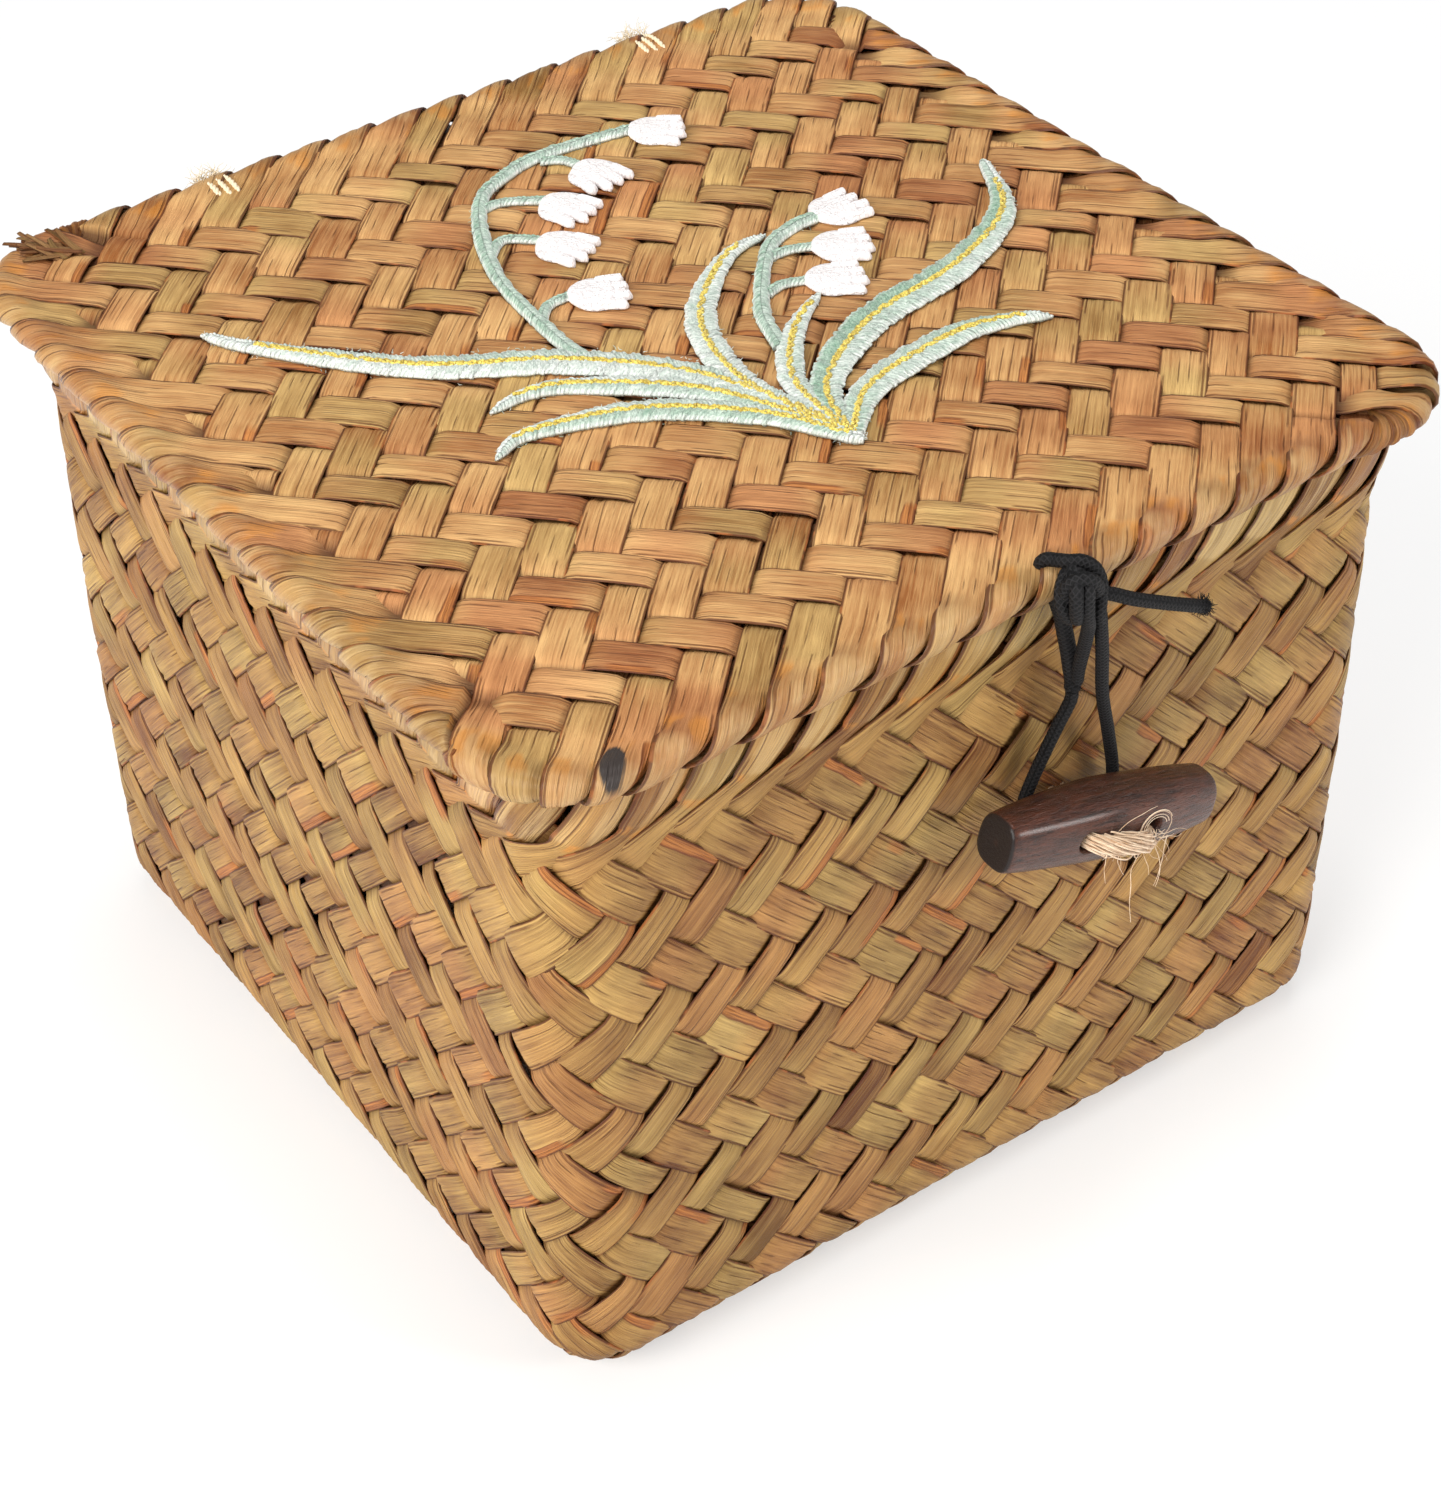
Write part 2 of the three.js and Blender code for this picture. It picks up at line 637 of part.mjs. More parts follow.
// Flower that opens along its heading, with a toothed mouth
function bell({ footShares, headingDegrees }) {
  const outline = [
    ...bellOutlineShares,
    ...bellOutlineShares.map(([along, out]) => [along, -out]).reverse().slice(1),
  ];
  const middle = new THREE.Vector3(bellMiddleShare * bellLength, 0, 0);
  const ringAt = (size, height) => outline.map(([along, out]) => {
    const point = new THREE.Vector3(along * bellLength, -out * bellWidth, 0);
    return point.lerp(middle, 1 - size).setZ(height);
  });
  const rings = [
    ringAt(1, 0),
    ringAt(1, bellThickness * bellEdgeShare),
    ringAt(bellCrownShare, bellThickness),
  ];
  const shape = loft(rings, middle, middle.clone().setZ(bellThickness));
  shape.rotateZ(THREE.MathUtils.degToRad(headingDegrees));
  const foot = sprayPlace(footShares);
  shape.translate(foot.x, foot.y, 0);
  return toSolid(shape);
}

function flowerApplique() {
  return joined([
    ...leafTable.map(leaf),
    ...stemShares.map((shares) => ribbon(shares, stemSteps, () => stemHalfWidth)),
    ...branchShares.map((shares) => ribbon(shares, branchSteps, () => branchHalfWidth)),
    ...bellTable.map(bell),
  ]);
}

function named(name, solid, color, roughness) {
  const material = new THREE.MeshStandardMaterial({ color, roughness, metalness: 0 });
  const mesh = new THREE.Mesh(toGeometry(solid), material);
  mesh.name = name;
  return mesh;
}

function closure() {
  const group = new THREE.Group();
  group.add(named('toggle', toggle(), toggleColour, toggleRoughness));
  group.add(named('toggle_twine', toggleTwine(), juteColour, fibreRoughness));
  group.position.set(toggleX, toggleMiddleY, toggleZ);
  group.rotation.y = THREE.MathUtils.degToRad(toggleTiltDegrees);
  return group;
}

const applique = named('flower_applique', flowerApplique(), satinColour, satinRoughness);
applique.position.z = lidTop + sprayGap;

const box = new THREE.Group();
box.add(named('basket_body', basketBody(), rushColour, rushRoughness));
box.add(named('lid_panel', lidPanel(), lidRushColour, rushRoughness));
box.add(applique);
box.add(named('hinge_tie_left', hingeTie('hinge_tie_left', hingeTieLeftX), juteColour, fibreRoughness));
box.add(named('hinge_tie_right', hingeTie('hinge_tie_right', hingeTieRightX), juteColour, fibreRoughness));
box.add(closure());
box.add(named('elastic_sling', elasticSling(), elasticColour, elasticRoughness));
box.add(named('elastic_loop', elasticLoop(), elasticColour, elasticRoughness));

export default box;
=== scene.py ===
import math

import bpy
import numpy as np
from mathutils import Matrix, Vector


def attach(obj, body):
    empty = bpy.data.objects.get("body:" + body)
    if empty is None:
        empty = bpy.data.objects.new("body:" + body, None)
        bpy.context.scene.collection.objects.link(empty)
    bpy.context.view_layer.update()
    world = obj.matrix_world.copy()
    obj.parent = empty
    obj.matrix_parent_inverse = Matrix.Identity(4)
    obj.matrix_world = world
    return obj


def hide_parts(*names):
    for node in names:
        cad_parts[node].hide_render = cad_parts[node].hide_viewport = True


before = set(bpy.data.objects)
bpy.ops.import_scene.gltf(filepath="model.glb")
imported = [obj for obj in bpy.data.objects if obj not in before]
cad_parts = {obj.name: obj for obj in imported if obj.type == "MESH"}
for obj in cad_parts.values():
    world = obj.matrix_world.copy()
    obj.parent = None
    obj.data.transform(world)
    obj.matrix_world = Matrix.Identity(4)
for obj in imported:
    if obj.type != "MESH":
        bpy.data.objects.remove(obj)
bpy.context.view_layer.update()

# A plaited rush box with a hinged lid, an embroidered spray and a toggle
# closure. Lengths here are millimetres in the frame's axes, and become
# metres when a mesh is made.

MM = 0.001

# Basket: outline and wall, as in the frame
WIDTH = 160.0
DEPTH = 159.0
WALL = 3.0
CORNER = 12.0
BULGE = 0.8
BULGE_AT = 60.0
RIM_FOOT = 107.0

# Lid: outline, and the roll round its edge
LID_CORNER = 18.0
LID_WIDTH = 173.8
LID_DEPTH = 172.8
ROLL = 2.4
ROLL_Z = 128.3
ROLL_PATH = 2.05
ROLL_TURN = math.pi * ROLL_PATH
ROLL_TAIL = 8.0

# Plait: strands of two families at 45 degrees, over two and under two. Each
# family has STRANDS round the walls, and LID_SIDE on each half of the lid
STRANDS = 66
LID_SIDE = 20
LID_PITCH = 9.4
LID_HALF = LID_PITCH / math.sqrt(2) / 2
FLOOR_PITCH = 9.36
FLOOR_SHAPE = (70.3, 69.8, 7.0)
FLOOR_LEVEL = 2.35
THICK = 0.62
LIFT = 0.6
BOW = 0.14

rng = np.random.default_rng(20)


def linked(name, data):
    item = bpy.data.objects.new(name, data)
    bpy.context.scene.collection.objects.link(item)
    return item


def new_object(name, mesh, body, material):
    mesh.materials.append(material)
    piece = linked(name, mesh)
    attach(piece, body)
    return piece


def smooth(x):
    x = np.clip(x, 0, 1)
    return x * x * (3 - 2 * x)


PLAIN = (0.5, 0.5, 0.5)


class Skin:
    """Gathers tubes and ribbons of one piece, with a fibre coordinate and a tint on each point."""

    def __init__(self):
        self.points = []
        self.quads = []
        self.fibre = []
        self.tint = []
        self.count = 0

    def tube(self, rings, fibre, tint=PLAIN):
        """Closed skin over rings (rows, around, 3), with an even count around. Fibre and tint have three
        parts each, which are spread over the rings."""
        rows, around = rings.shape[:2]
        index = np.arange(rows * around).reshape(rows, around) + self.count
        a = index[:-1]
        b = index[1:]
        side = np.stack([a, np.roll(a, -1, 1), np.roll(b, -1, 1), b], -1).reshape(-1, 4)
        k = np.arange(around // 2 - 1)
        far = around - 1 - k
        first = np.stack([index[0, k], index[0, far], index[0, far - 1], index[0, k + 1]], -1)
        last = np.stack([index[-1, k], index[-1, k + 1], index[-1, far - 1], index[-1, far]], -1)
        self.quads += [side, first, last]
        self.points.append(rings.reshape(-1, 3))
        self.count += rows * around
        for values, parts in ((self.fibre, fibre), (self.tint, tint)):
            spread = [np.broadcast_to(part, (rows, around)) for part in parts]
            values.append(np.stack(spread, -1).reshape(-1, 3))

    def mesh(self, name):
        mesh = bpy.data.meshes.new(name)
        points = np.concatenate(self.points) * MM
        quads = np.concatenate(self.quads)
        mesh.vertices.add(len(points))
        mesh.vertices.foreach_set("co", points.astype(np.float32).ravel())
        mesh.loops.add(quads.size)
        mesh.loops.foreach_set("vertex_index", quads.astype(np.int32).ravel())
        mesh.polygons.add(len(quads))
        mesh.polygons.foreach_set("loop_start", np.arange(0, quads.size, 4, dtype=np.int32))
        mesh.polygons.foreach_set("use_smooth", np.ones(len(quads), bool))
        for label, values in (("fibre", self.fibre), ("tint", self.tint)):
            layer = mesh.attributes.new(label, "FLOAT_VECTOR", "POINT")
            layer.data.foreach_set("vector", np.concatenate(values).astype(np.float32).ravel())
        mesh.update()
        mesh.validate()
        return mesh


# Strand's cross-section: places across its top, and back across its underside
ACROSS = np.array([-1.0, -0.94, -0.74, -0.5, -0.27, -0.04, 0.2, 0.44, 0.66, 0.84, 0.95, 1.0])
BELOW = np.array([0.85, 0.3, -0.3, -0.85])
AROUND = np.concatenate([ACROSS, BELOW])


class Strand:
    """One ribbon of rush: its own width, ribs, colour and drift."""

    def __init__(self, tone, width=1.0):
        self.tone = tone
        self.width = width * (1 + 0.08 * rng.normal())
        ribs = 0.05 * rng.normal(size=ACROSS.size)
        ribs[rng.integers(2, ACROSS.size - 2, 2)] -= 0.2 * rng.uniform(0.1, 1, 2)
        ribs[1:3] += 0.14 * rng.uniform(0, 1)
        ribs[-3:-1] += 0.14 * rng.uniform(0, 1)
        self.ribs = np.concatenate([ribs, np.zeros(BELOW.size)])
        self.id = rng.uniform(0, 50)
        self.phase = rng.uniform(0, 2 * math.pi, 6)
        self.shade = 0.5 + 0.15 * rng.normal()
        self.curl = 0.06 + 0.1 * abs(rng.normal())
        self.gloss = 0.0

    def drift(self, along, which=0):
        """Slow wander along the strand, about -1 to 1."""
        slow = np.sin(along / 23 + self.phase[which])
        return 0.6 * slow + 0.4 * np.sin(along / 9.1 + self.phase[which + 1])

    def lay(self, skin, along, point, x, y, ahead, half, lift, tilt=0.0, draw=0.0, thick=THICK, arch=0.0):
        """Lays the ribbon along x and y, where it heads ahead. point(x, y, height) turns them into a place;
        draw is the share by which its left edge is drawn in, and arch raises its middle."""
        column = lambda value: np.broadcast_to(np.asarray(value, float), along.shape)[:, None]
        draw = np.where(AROUND < 0, 1 - column(draw), 1)
        across = column(half) * self.width * draw * AROUND
        face = np.where(np.arange(AROUND.size) < ACROSS.size, 0.5, -0.5) * thick
        crown = face * (1 - 0.5 * np.abs(AROUND) ** 5)
        ribs = self.ribs * (0.7 + 0.5 * np.sin(along[:, None] / 7 + self.phase[2]))
        sag = -self.curl * np.abs(AROUND) ** 3
        height = column(lift) + crown + ribs + sag + column(tilt) * AROUND
        height = height + column(arch) * (0.6 - AROUND ** 2)
        shade = self.shade + 0.1 * self.drift(along, 3)[:, None]
        tone = self.tone + column(self.gloss) * (1 if self.tone > 0.5 else -1)
        rings = point(column(x) + across * column(ahead[1]), column(y) - across * column(ahead[0]), height)
        skin.tube(rings, (along[:, None], AROUND, self.id), (tone, shade, column(lift)))


def over_under(phase):
    """Height from -1 to 1 of a strand in the 2 by 2 twill, with its float round phase 0 of 4."""
    x = (phase + 2) % 4 - 2
    dive = np.sin(math.pi / 2 * np.clip((1 - np.abs(x)) / 0.3, -1, 1))
    bow = np.cos(math.pi / 2 * np.clip(x, -1, 1)) * (np.abs(x) < 1)
    return dive, bow, x


def outline(s, width, depth, radius):
    """Points and outward directions at distances s round a rounded rectangle, anticlockwise from the left
    end of its front."""
    lengths = [width - 2 * radius, depth - 2 * radius] * 2
    arc = radius * math.pi / 2
    s = np.mod(s, sum(lengths) + 4 * arc)
    x, y, angle = np.zeros_like(s), np.zeros_like(s), np.zeros_like(s)
    start = 0.0
    for side, length in enumerate(lengths):
        facing = math.pi / 2 * (side - 1)
        out = np.array([round(math.cos(facing)), round(math.sin(facing))])
        run = np.array([-out[1], out[0]])
        first = out * (depth if side % 2 == 0 else width) / 2 - run * length / 2
        rest = s - start
        straight = (rest >= 0) & (rest < length)
        bend = (rest - length) / radius
        turning = (bend >= 0) & (bend < math.pi / 2)
        centre = first + run * length - out * radius
        x = np.where(straight, first[0] + run[0] * rest, x)
        y = np.where(straight, first[1] + run[1] * rest, y)
        x = np.where(turning, centre[0] + radius * np.cos(facing + bend), x)
        y = np.where(turning, centre[1] + radius * np.sin(facing + bend), y)
        angle = np.where(straight, facing, np.where(turning, facing + bend, angle))
        start += length + arc
    return x, y, np.cos(angle), np.sin(angle)


def perimeter(width, depth, radius):
    return 2 * (width + depth - 4 * radius) + 2 * math.pi * radius


def through(points, step):
    """Smooth line through points, in even steps."""
    points = np.array(points, float)
    ends = np.concatenate([2 * points[:1] - points[1:2], points, 2 * points[-1:] - points[-2:-1]])
    a, b, c, d = ends[:-3, None], ends[1:-2, None], ends[2:-1, None], ends[3:, None]
    t = np.linspace(0, 1, 24, endpoint=False)[None, :, None]
    square = (2 * a - 5 * b + 4 * c - d) * t ** 2
    cube = (3 * b - a - 3 * c + d) * t ** 3
    line = 0.5 * (2 * b + (c - a) * t + square + cube)
    line = np.concatenate([line.reshape(-1, points.shape[1]), points[-1:]])
    far = np.concatenate([[0], np.cumsum(np.linalg.norm(np.diff(line, axis=0), axis=1))])
    at = np.linspace(0, far[-1], max(2, int(far[-1] / step) + 1))
    return np.stack([np.interp(at, far, line[:, k]) for k in range(points.shape[1])], -1), at


def headings(line):
    """Unit direction at each point of a line."""
    ahead = np.gradient(line, axis=0)
    return ahead / np.linalg.norm(ahead, axis=1)[:, None]


def sideways(line):
    """Unit direction to the left of each point of a flat line."""
    ahead = headings(line)
    return np.stack([-ahead[:, 1], ahead[:, 0], 0 * ahead[:, 0]], -1)


# Side of the basket from under its floor to the tucked ends inside its rim:
# distance out of the wall's middle, and height
PROFILE = [
    (-20.0, 1.35), (-13.0, 1.2), (-7.5, 1.3), (-4.4, 2.4), (-2.0, 4.4), (-0.6, 6.9), (0.0, 10.0), (0.0, 30.0),
    (0.0, 50.0), (0.0, 70.0), (0.0, 90.0), (0.0, 105.0), (0.1, 109.0), (0.6, 113.0), (1.5, 116.4),
    (2.0, 119.5), (1.7, 122.8), (0.4, 124.8), (-1.2, 124.6), (-2.0, 122.6), (-2.0, 119.0), (-1.9, 112.0),
]
# Height at which the distance along the profile equals the height itself
LEVEL_AT = 50
profile_line, profile_at = through(PROFILE, 0.25)
middle_row = int(np.argmin(np.abs(profile_line[:, 1] - LEVEL_AT)))
profile_at = profile_at - profile_at[middle_row] + LEVEL_AT
profile_turn = headings(profile_line)


def wall_point(s, p, h):
    """Point on the basket's side: s round it, p up its profile, h out of it."""
    look = lambda values: np.interp(p, profile_at, values)
    height = look(profile_line[:, 1])
    bulge = BULGE * np.clip(1 - ((height - BULGE_AT) / BULGE_AT) ** 2, 0, 1)
    out = look(profile_line[:, 0]) + h * look(profile_turn[:, 1]) - WALL / 2 + bulge
    z = height - h * look(profile_turn[:, 0])
    x, y, nx, ny = outline(s, WIDTH, DEPTH, CORNER)
    return np.stack([x + nx * out, y + ny * out, z], -1)


WALL_PITCH = perimeter(WIDTH, DEPTH, CORNER) / STRANDS
WALL_HALF = WALL_PITCH / math.sqrt(2) / 2
WALL_STEP = WALL_PITCH / 2 / 6
WALL_HEM = 5
WANDER = 0.3
# Rising strands: how far each is drawn in beside its dive, its wraps over the
# rim, and where these end inside; and where the falling strands end
WALL_DRAW = 0.09
RIM_LIFT = 0.35
RIM_TILT = 0.5
RIM_ARCH = 0.35
RIM_END = 126
FALL_END = 119


def rising_strands(skin):
    """Wall strands that climb to the right and fold over the rim as a row of slanted wraps."""
    rise = np.arange(profile_at[0] + WALL_HEM, profile_at[-1], WALL_STEP)
    above = rise - RIM_FOOT
    lean = 1 + 1.1 * smooth((above + 2) / 4) - 1.5 * smooth((above - 4) / 3.5)
    shift = np.concatenate([[0], np.cumsum(lean[:-1] * WALL_STEP)]) + rise[0]
    run, climb = lean / np.hypot(lean, 1), 1 / np.hypot(lean, 1)
    dive, bow, x = over_under(2 * rise / WALL_PITCH)
    rim = smooth(above / 4)
    foot = smooth((2 - rise) / 4)
    lift = LIFT * dive * (1 - rim) * (1 - 0.7 * foot) + BOW * bow * (1 - rim)
    lift = lift + RIM_LIFT * rim * (rise < RIM_END)
    draw = WALL_DRAW * smooth((x + 0.35) / 1.1) * (1 - rim)
    roll = smooth((above - 4.5) / 3.5)
    for number in range(STRANDS):
        strand = Strand(0.0, 1.08)
        strand.gloss = roll
        s = (number + 0.5) * WALL_PITCH + shift + WANDER * strand.drift(rise)
        half = WALL_HALF * (1 + 0.05 * strand.drift(rise, 1) + 0.3 * roll)
        strand.lay(skin, shift, wall_point, s, rise, (run, climb), half, lift,
                   tilt=-0.05 - RIM_TILT * rim, draw=draw, arch=RIM_ARCH * roll)


def falling_strands(skin):
    """Wall strands that climb to the left and end under the wraps."""
    fall = np.arange(profile_at[0] + WALL_HEM, profile_at[-1], WALL_STEP)
    fall = fall[fall < FALL_END]
    dive, bow, _ = over_under(2 * fall / WALL_PITCH - 2)
    rim = smooth((fall - RIM_FOOT - 2) / 4)
    foot = smooth((2 - fall) / 4)
    lift = (LIFT * dive * (1 - rim) - 0.5 * rim) * (1 - 0.7 * foot) + BOW * bow
    ahead = np.array([-1, 1]) * math.sqrt(0.5)
    for number in range(STRANDS):
        strand = Strand(0.0, 1.1)
        s = number * WALL_PITCH - fall + WANDER * strand.drift(fall)
        half = WALL_HALF * (1 + 0.04 * strand.drift(fall, 1))
        strand.lay(skin, fall * math.sqrt(2), wall_point, s, fall, ahead, half, lift)


def diagonals(span, pitch, side, steps):
    """Flat strands of both families, side of each on either half: family, direction, distance along it, the
    x and y of its line, and how it goes over and under."""
    t = np.arange(-span, span, pitch / 2 / steps)
    for family in (1, -1):
        ahead = np.array([1, family]) * math.sqrt(0.5)
        for number in range(-side, side):
            offset = (number + (0.5 if family > 0 else 0)) * pitch
            y = family * (t - offset / 2)
            dive, bow, _ = over_under(2 * y / pitch - (0 if family > 0 else 2))
            yield family, ahead, np.array([t, t + offset / 2, y, dive, bow])


FLAT_LIFT = 0.42
FLAT_BOW = 0.1
FLAT_THICK = 0.5


def flat_plait(skin, reach, pitch, level, tone):
    """Plait in a flat rounded rectangle: reach gives its half width, half depth and corner radius."""
    span = reach[0] + reach[1]
    half = pitch / math.sqrt(2) / 2
    point = lambda x, y, height: np.stack([x, y, level + height], -1)
    for _, ahead, line in diagonals(span, pitch, int(span / pitch) + 2, 4):
        t, x, y, dive, bow = line[:, rounded_distance(line[1], line[2], *reach) < 0]
        if t.size < 4:
            continue
        strand = Strand(tone, 1.04)
        x = x + 0.25 * strand.drift(t)
        lift = FLAT_LIFT * dive + FLAT_BOW * bow
        strand.lay(skin, t * math.sqrt(2), point, x, y, ahead, half, lift, thick=FLAT_THICK)


def rounded_distance(x, y, half_width, half_depth, radius):
    """Distance outside a rounded rectangle, negative inside it."""
    dx = np.abs(x) - half_width + radius
    dy = np.abs(y) - half_depth + radius
    outside = np.hypot(np.maximum(dx, 0), np.maximum(dy, 0))
    return outside + np.minimum(np.maximum(dx, dy), 0) - radius


AXIS_X = LID_WIDTH / 2 - ROLL
AXIS_Y = LID_DEPTH / 2 - ROLL
LID_LEVEL = 129.3
UNDERSIDE_SHAPE = (AXIS_X - 3, AXIS_Y - 3, 15.0)
UNDERSIDE_LEVEL = 127.55


def roll_round(distance, h):
    """Reach beyond the roll's axis and height, for a point that lies distance beyond it when unrolled."""
    angle = np.clip(distance / ROLL_PATH, 0, math.pi)
    beyond = np.maximum(distance - ROLL_TURN, 0)
    reach = (ROLL_PATH + h) * np.sin(angle) - beyond
    tucked = 0.32 * smooth(beyond / 2)
    z = ROLL_Z + (ROLL_PATH + h) * np.cos(angle) + tucked
    return reach, z


def axis_distance(x, y):
    """Distance beyond the axis of the lid's roll, negative inside it, and the outward direction there."""
    radius = LID_CORNER - ROLL
    dx = np.abs(x) - AXIS_X + radius
    dy = np.abs(y) - AXIS_Y + radius
    in_corner = (dx > 0) & (dy > 0)
    far = np.hypot(dx, dy)
    nx = np.where(in_corner, dx / far, dx >= dy) * np.sign(x)
    ny = np.where(in_corner, dy / far, dx < dy) * np.sign(y)
    return np.where(in_corner, far, np.maximum(dx, dy)) - radius, nx, ny


def lid_point(x, y, h):
    """Point on the lid's upper skin from its place when unrolled flat."""
    beyond, nx, ny = axis_distance(x, y)
    reach, rolled = roll_round(np.maximum(beyond, 0), h)
    crest = smooth(1 + beyond / 5) * (ROLL_Z + ROLL_PATH - LID_LEVEL)
    z = np.where(beyond > 0, rolled, LID_LEVEL + crest + h)
    back = np.where(beyond > 0, reach - beyond, 0)
    return np.stack([x + nx * back, y + ny * back, z], -1)


def wraps_over(nx, ny, way, family):
    """Whether a strand wraps the edge that it reaches, where that faces (nx, ny): the rising family does at
    the front, the back and the corners that it meets head on, and the falling one elsewhere."""
    head_on = way * (nx + family * ny) * math.sqrt(0.5)
    own_side = (abs(ny) > abs(nx)) == (family > 0)
    return head_on + (0.04 if own_side else -0.04) > 0.7


def lid_strand(skin, family, ahead, line):
    """One strand of the lid's upper plait. Returns where it goes over the edge, and which way."""
    x, y = line[1:3]
    beyond, nx, ny = axis_distance(x, y)
    inside = np.flatnonzero(beyond < -3.2)
    if inside.size < 8:
        return []
    crossings = []
    ends = []
    wraps_at = []
    for place, way in ((inside[0], -1), (inside[-1], 1)):
        edge = place
        while beyond[edge] < 0:
            edge += way
        wrap = wraps_over(nx[edge], ny[edge], way, family)
        if wrap:
            crossings.append((math.atan2(y[edge], x[edge]), x[edge], y[edge], way, family))
        while wrap and beyond[place] < ROLL_TURN + ROLL_TAIL:
            place += way
        ends.append(place)
        wraps_at.append(wrap)
    rows = slice(ends[0], ends[1] + 1)
    t, x, y, dive, bow = line[:, rows]
    beyond = beyond[rows]
    early = np.arange(t.size) < t.size // 2
    wraps = np.where(early, *wraps_at)
    near = smooth((9 + beyond) / 4)
    lift = (LIFT * dive + BOW * bow) * (1 - near) + near * np.where(wraps, 0.6, -LIFT - 0.35)
    lift = np.where(wraps, lift * (1 - smooth((beyond + 5) / 5)), lift)
    edge = wraps * smooth((beyond + 6) / 6)
    strand = Strand(1.0, 1.05)
    strand.gloss = wraps * smooth((beyond + 6) / 8)
    x = x + 0.3 * strand.drift(t * 1.4) * (1 - edge)
    half = LID_HALF * (1 + 0.05 * strand.drift(t, 1) + 0.1 * edge)
    strand.lay(skin, t * math.sqrt(2), lid_point, x, y, ahead, half, lift,
               tilt=0.65 * edge * np.where(early, -1, 1), arch=0.42 * edge)
    return crossings


def lid_top(skin):
    """Upper plait of the lid, with fans of split stalks where the wraps of a side and a corner part."""
    crossings = []
    for strand in diagonals((LID_WIDTH + LID_DEPTH) / 2, LID_PITCH, LID_SIDE, 6):
        crossings += lid_strand(skin, *strand)
    crossings.sort()
    for here, there in zip(crossings, crossings[1:] + crossings[:1]):
        if here[3:] != there[3:]:
            corner_fan(skin, np.array(here[1:3]), np.array(there[1:3]))


def corner_fan(skin, here, there):
    """Split stalks that spread over the roll between two wraps that slant away from each other."""
    foot = (here + there) / 2
    gap = np.hypot(*(there - here))
    _, nx, ny = axis_distance(*foot)
    t = np.arange(-6, 13, 0.5)
    for degrees in (-36, -24, -12, 0, 12, 24, 36):
        strand = Strand(1.0)
        strand.ribs = strand.ribs * 1.6
        strand.shade -= 0.45
        strand.gloss = 0.5
        turn = math.radians(degrees)
        cos, sin = math.cos(turn), math.sin(turn)
        ahead = np.array([nx * cos - ny * sin, ny * cos + nx * sin])
        start = foot + np.array([-ny, nx]) * (gap / 2 - 4) * degrees / 36
        x = start[0] + ahead[0] * t
        y = start[1] + ahead[1] * t
        half = 0.7 + 0.11 * np.maximum(t, 0)
        lift = -0.7 + 0.75 * smooth((t + 2) / 5) + 0.2 * (degrees % 24 == 0)
        strand.lay(skin, t, lid_point, x, y, ahead, half, lift, arch=0.45)


TUFT_AT = (-71.0, 78.5, 130.1)


def corner_tuft(skin):
    """Frayed ends that stand out of the lid's back left corner."""
    for _ in range(26):
        strand = Strand(1.0)
        strand.shade -= 0.2
        strand.gloss = -0.2
        start = TUFT_AT + np.array([rng.uniform(-2.4, 2.0), rng.uniform(-2.0, 2.0), 0])
        heading = math.radians(rng.uniform(98, 176))
        length = rng.uniform(6, 9)
        rise = rng.uniform(0.0, 0.26)
        t = np.linspace(-0.6, 3, 12) * length / 3.6
        bend = rng.uniform(-0.05, 0.05)
        cos, sin = math.cos(heading), math.sin(heading)
        line_x = start[0] + t * cos - bend * t * t * sin
        line_y = start[1] + t * sin + bend * t * t * cos
        z = start[2] + rng.uniform(0, 0.6) + rise * t
        point = lambda x, y, height: np.stack([x, y, z[:, None] + 0.3 * height], -1)
        half = np.linspace(0.75, 0.4, t.size)
        strand.lay(skin, t + 40, point, line_x, line_y, (-cos, -sin), half, 0, thick=0.7)


def srgb(red, green, blue):
    linear = [(value / 255 / 12.92) if value < 11 else ((value / 255 + 0.055) / 1.055) ** 2.4
              for value in (red, green, blue)]
    return (*linear, 1.0)


